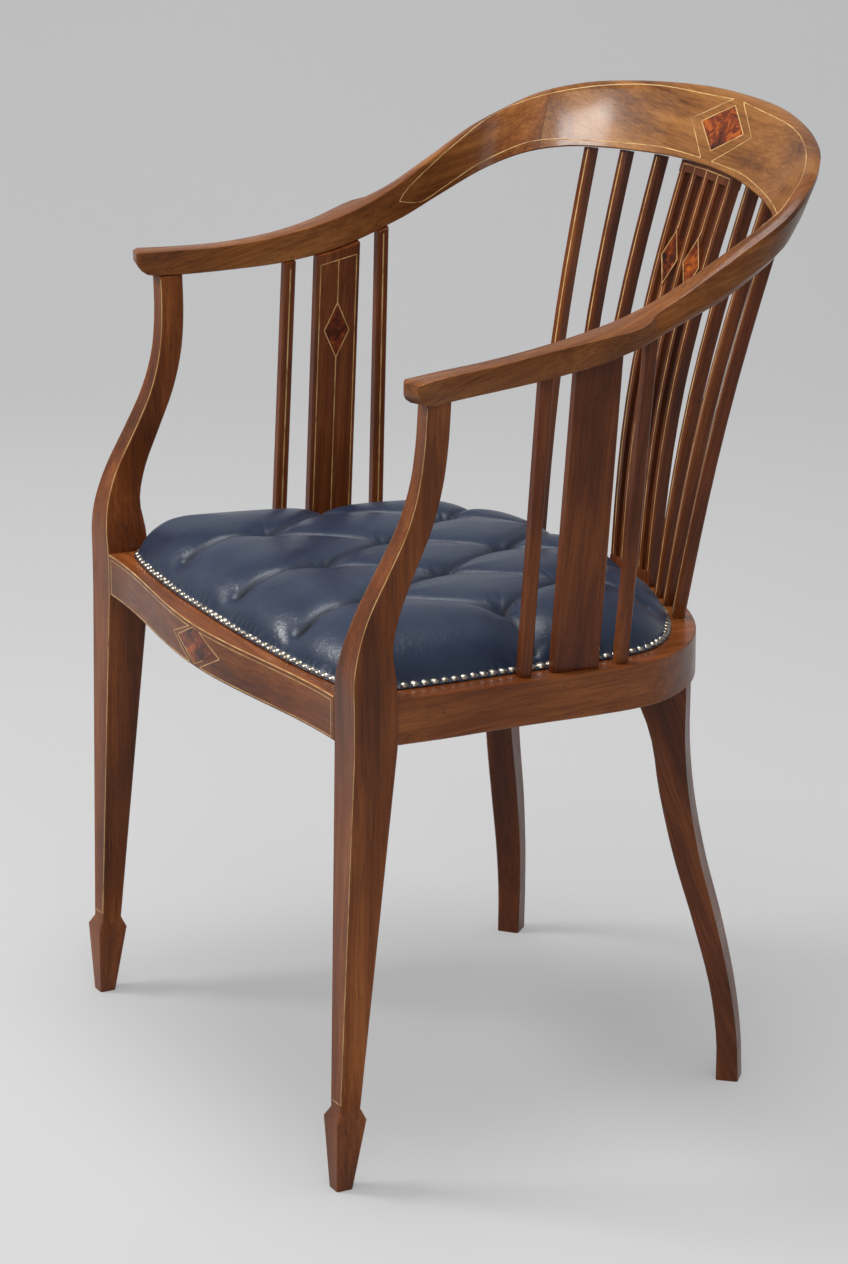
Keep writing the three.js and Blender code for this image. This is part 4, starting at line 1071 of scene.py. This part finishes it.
NAIL_LIFT, NAIL_DRIFT, NAIL_LEAN, NAIL_TILT = 2.1 * MM, 0.35, 0.22, 0.07
NAIL_RINGS = [(r * MM, h * MM) for r, h in (
    (3.6, -0.6), (4.35, 0.1), (4.5, 0.6), (4.2, 1.5), (3.3, 2.4), (1.9, 3.0), (0, 3.2),
)]
made = bmesh.new()
loop_edge = whole_edge + whole_edge[:1]
around = sum((b - a).length for a, b in zip(loop_edge, loop_edge[1:]))
nail_count = round(around / NAIL_STEP)
nail_spots = evened(loop_edge, nail_count)[:-1]
for k, spot in enumerate(nail_spots):
    away = outward(nail_spots, k)
    at = spot + away * draw.uniform(-NAIL_DRIFT, NAIL_DRIFT) * MM
    at.z = rail_level(at.y) + NAIL_LIFT
    tilt = Vector((draw.uniform(-NAIL_TILT, NAIL_TILT), draw.uniform(-NAIL_TILT, NAIL_TILT), 0))
    domed(made, at, (UP + away * NAIL_LEAN + tilt).normalized(), NAIL_RINGS, NAIL_SIDES)
finished(made, "seat_nails", BRASS)


# Stage: a pale floor that curves up into a backdrop, seen partly at an even strength
PAPER_GLOW, PAPER_SHARE = 0.62, 0.44
PAPER_FRONT, PAPER_BEND, PAPER_ROUND, PAPER_TOP, PAPER_HALF = 6.0, -2.2, 1.8, 7.0, 7.0
BEND_STEPS = 12


def stage_sheet():
    """The paper, one-sided, so that a view from behind it still shows the chair."""
    made = bmesh.new()
    profile = [(PAPER_FRONT, 0.0), (PAPER_BEND, 0.0)]
    for i in range(1, BEND_STEPS + 1):
        angle = math.pi / 2 * i / BEND_STEPS
        reach = PAPER_BEND - PAPER_ROUND * math.sin(angle)
        profile.append((reach, PAPER_ROUND - PAPER_ROUND * math.cos(angle)))
    profile.append((PAPER_BEND - PAPER_ROUND, PAPER_TOP))
    toward_camera = Vector((BACKWARD.x, BACKWARD.y, 0)).normalized()
    rows = []
    for reach, height in profile:
        row = []
        for across in (-PAPER_HALF, PAPER_HALF):
            spot = toward_camera * reach + RIGHTWARD * across
            row.append(made.verts.new((spot.x, spot.y, height)))
        rows.append(row)
    for lower, upper in zip(rows, rows[1:]):
        face = made.faces.new((lower[0], lower[1], upper[1], upper[0]))
        face.smooth = True
    mesh = bpy.data.meshes.new("backdrop")
    made.to_mesh(mesh)
    made.free()
    sheet = bpy.data.objects.new("backdrop", mesh)
    scene.collection.objects.link(sheet)
    g = Graph("backdrop_paper")
    g.put(g.shader.inputs["Base Color"], g.ramp(g.noise(g.place(), 0.6, 2.0), ((0.3, 0.55), (0.7, 0.60))))
    g.shader.inputs["Roughness"].default_value = 0.9
    g.shader.inputs["Specular IOR Level"].default_value = 0.1
    rays = g.node("ShaderNodeLightPath")
    seen = g.math("MAXIMUM", rays.outputs["Is Camera Ray"], rays.outputs["Is Glossy Ray"])
    seen = g.math("MAXIMUM", seen, rays.outputs["Is Transmission Ray"])
    glow = g.node("ShaderNodeEmission", Color=(0.985, 0.99, 1.0, 1), Strength=PAPER_GLOW)
    front = g.either(g.math("MULTIPLY", seen, PAPER_SHARE), g.shader.outputs[0], glow.outputs[0])
    from_behind = g.node("ShaderNodeNewGeometry").outputs["Backfacing"]
    clear = g.node("ShaderNodeBsdfTransparent").outputs[0]
    g.put(g.tree.nodes["Material Output"].inputs["Surface"], g.either(from_behind, front, clear))
    mesh.materials.append(g.material)


stage_sheet()


# Light: a soft lamp over the chair's front, a weaker one from the camera's side, one above, and an even world
def lamp(name, at, aim, size, power, colour=(1, 1, 1)):
    data = bpy.data.lights.new(name, "AREA")
    data.shape = "RECTANGLE"
    data.size, data.size_y = size
    data.energy = power
    data.color = colour
    made = bpy.data.objects.new(name, data)
    scene.collection.objects.link(made)
    made.location = at
    made.rotation_euler = (Vector(aim) - Vector(at)).to_track_quat("-Z", "Y").to_euler()


lamp("key", (-1.25, -2.1, 2.5), (0, 0, 0.55), (0.95, 0.5), 58, (1, 0.985, 0.965))
lamp("fill", (3.2, -1.6, 2.6), (0.3, 0.2, 0.3), (2.0, 2.0), 30, (1, 0.99, 0.98))
lamp("top", (0.1, -0.1, 3.2), (0, 0, 0.4), (1.6, 1.6), 64)

world = bpy.data.worlds.new("world")
world.use_nodes = True
sky = world.node_tree.nodes["Background"]
sky.inputs["Color"].default_value = (0.95, 0.96, 1.0, 1)
sky.inputs["Strength"].default_value = 0.32
scene.world = world
scene.view_settings.view_transform = "Standard"
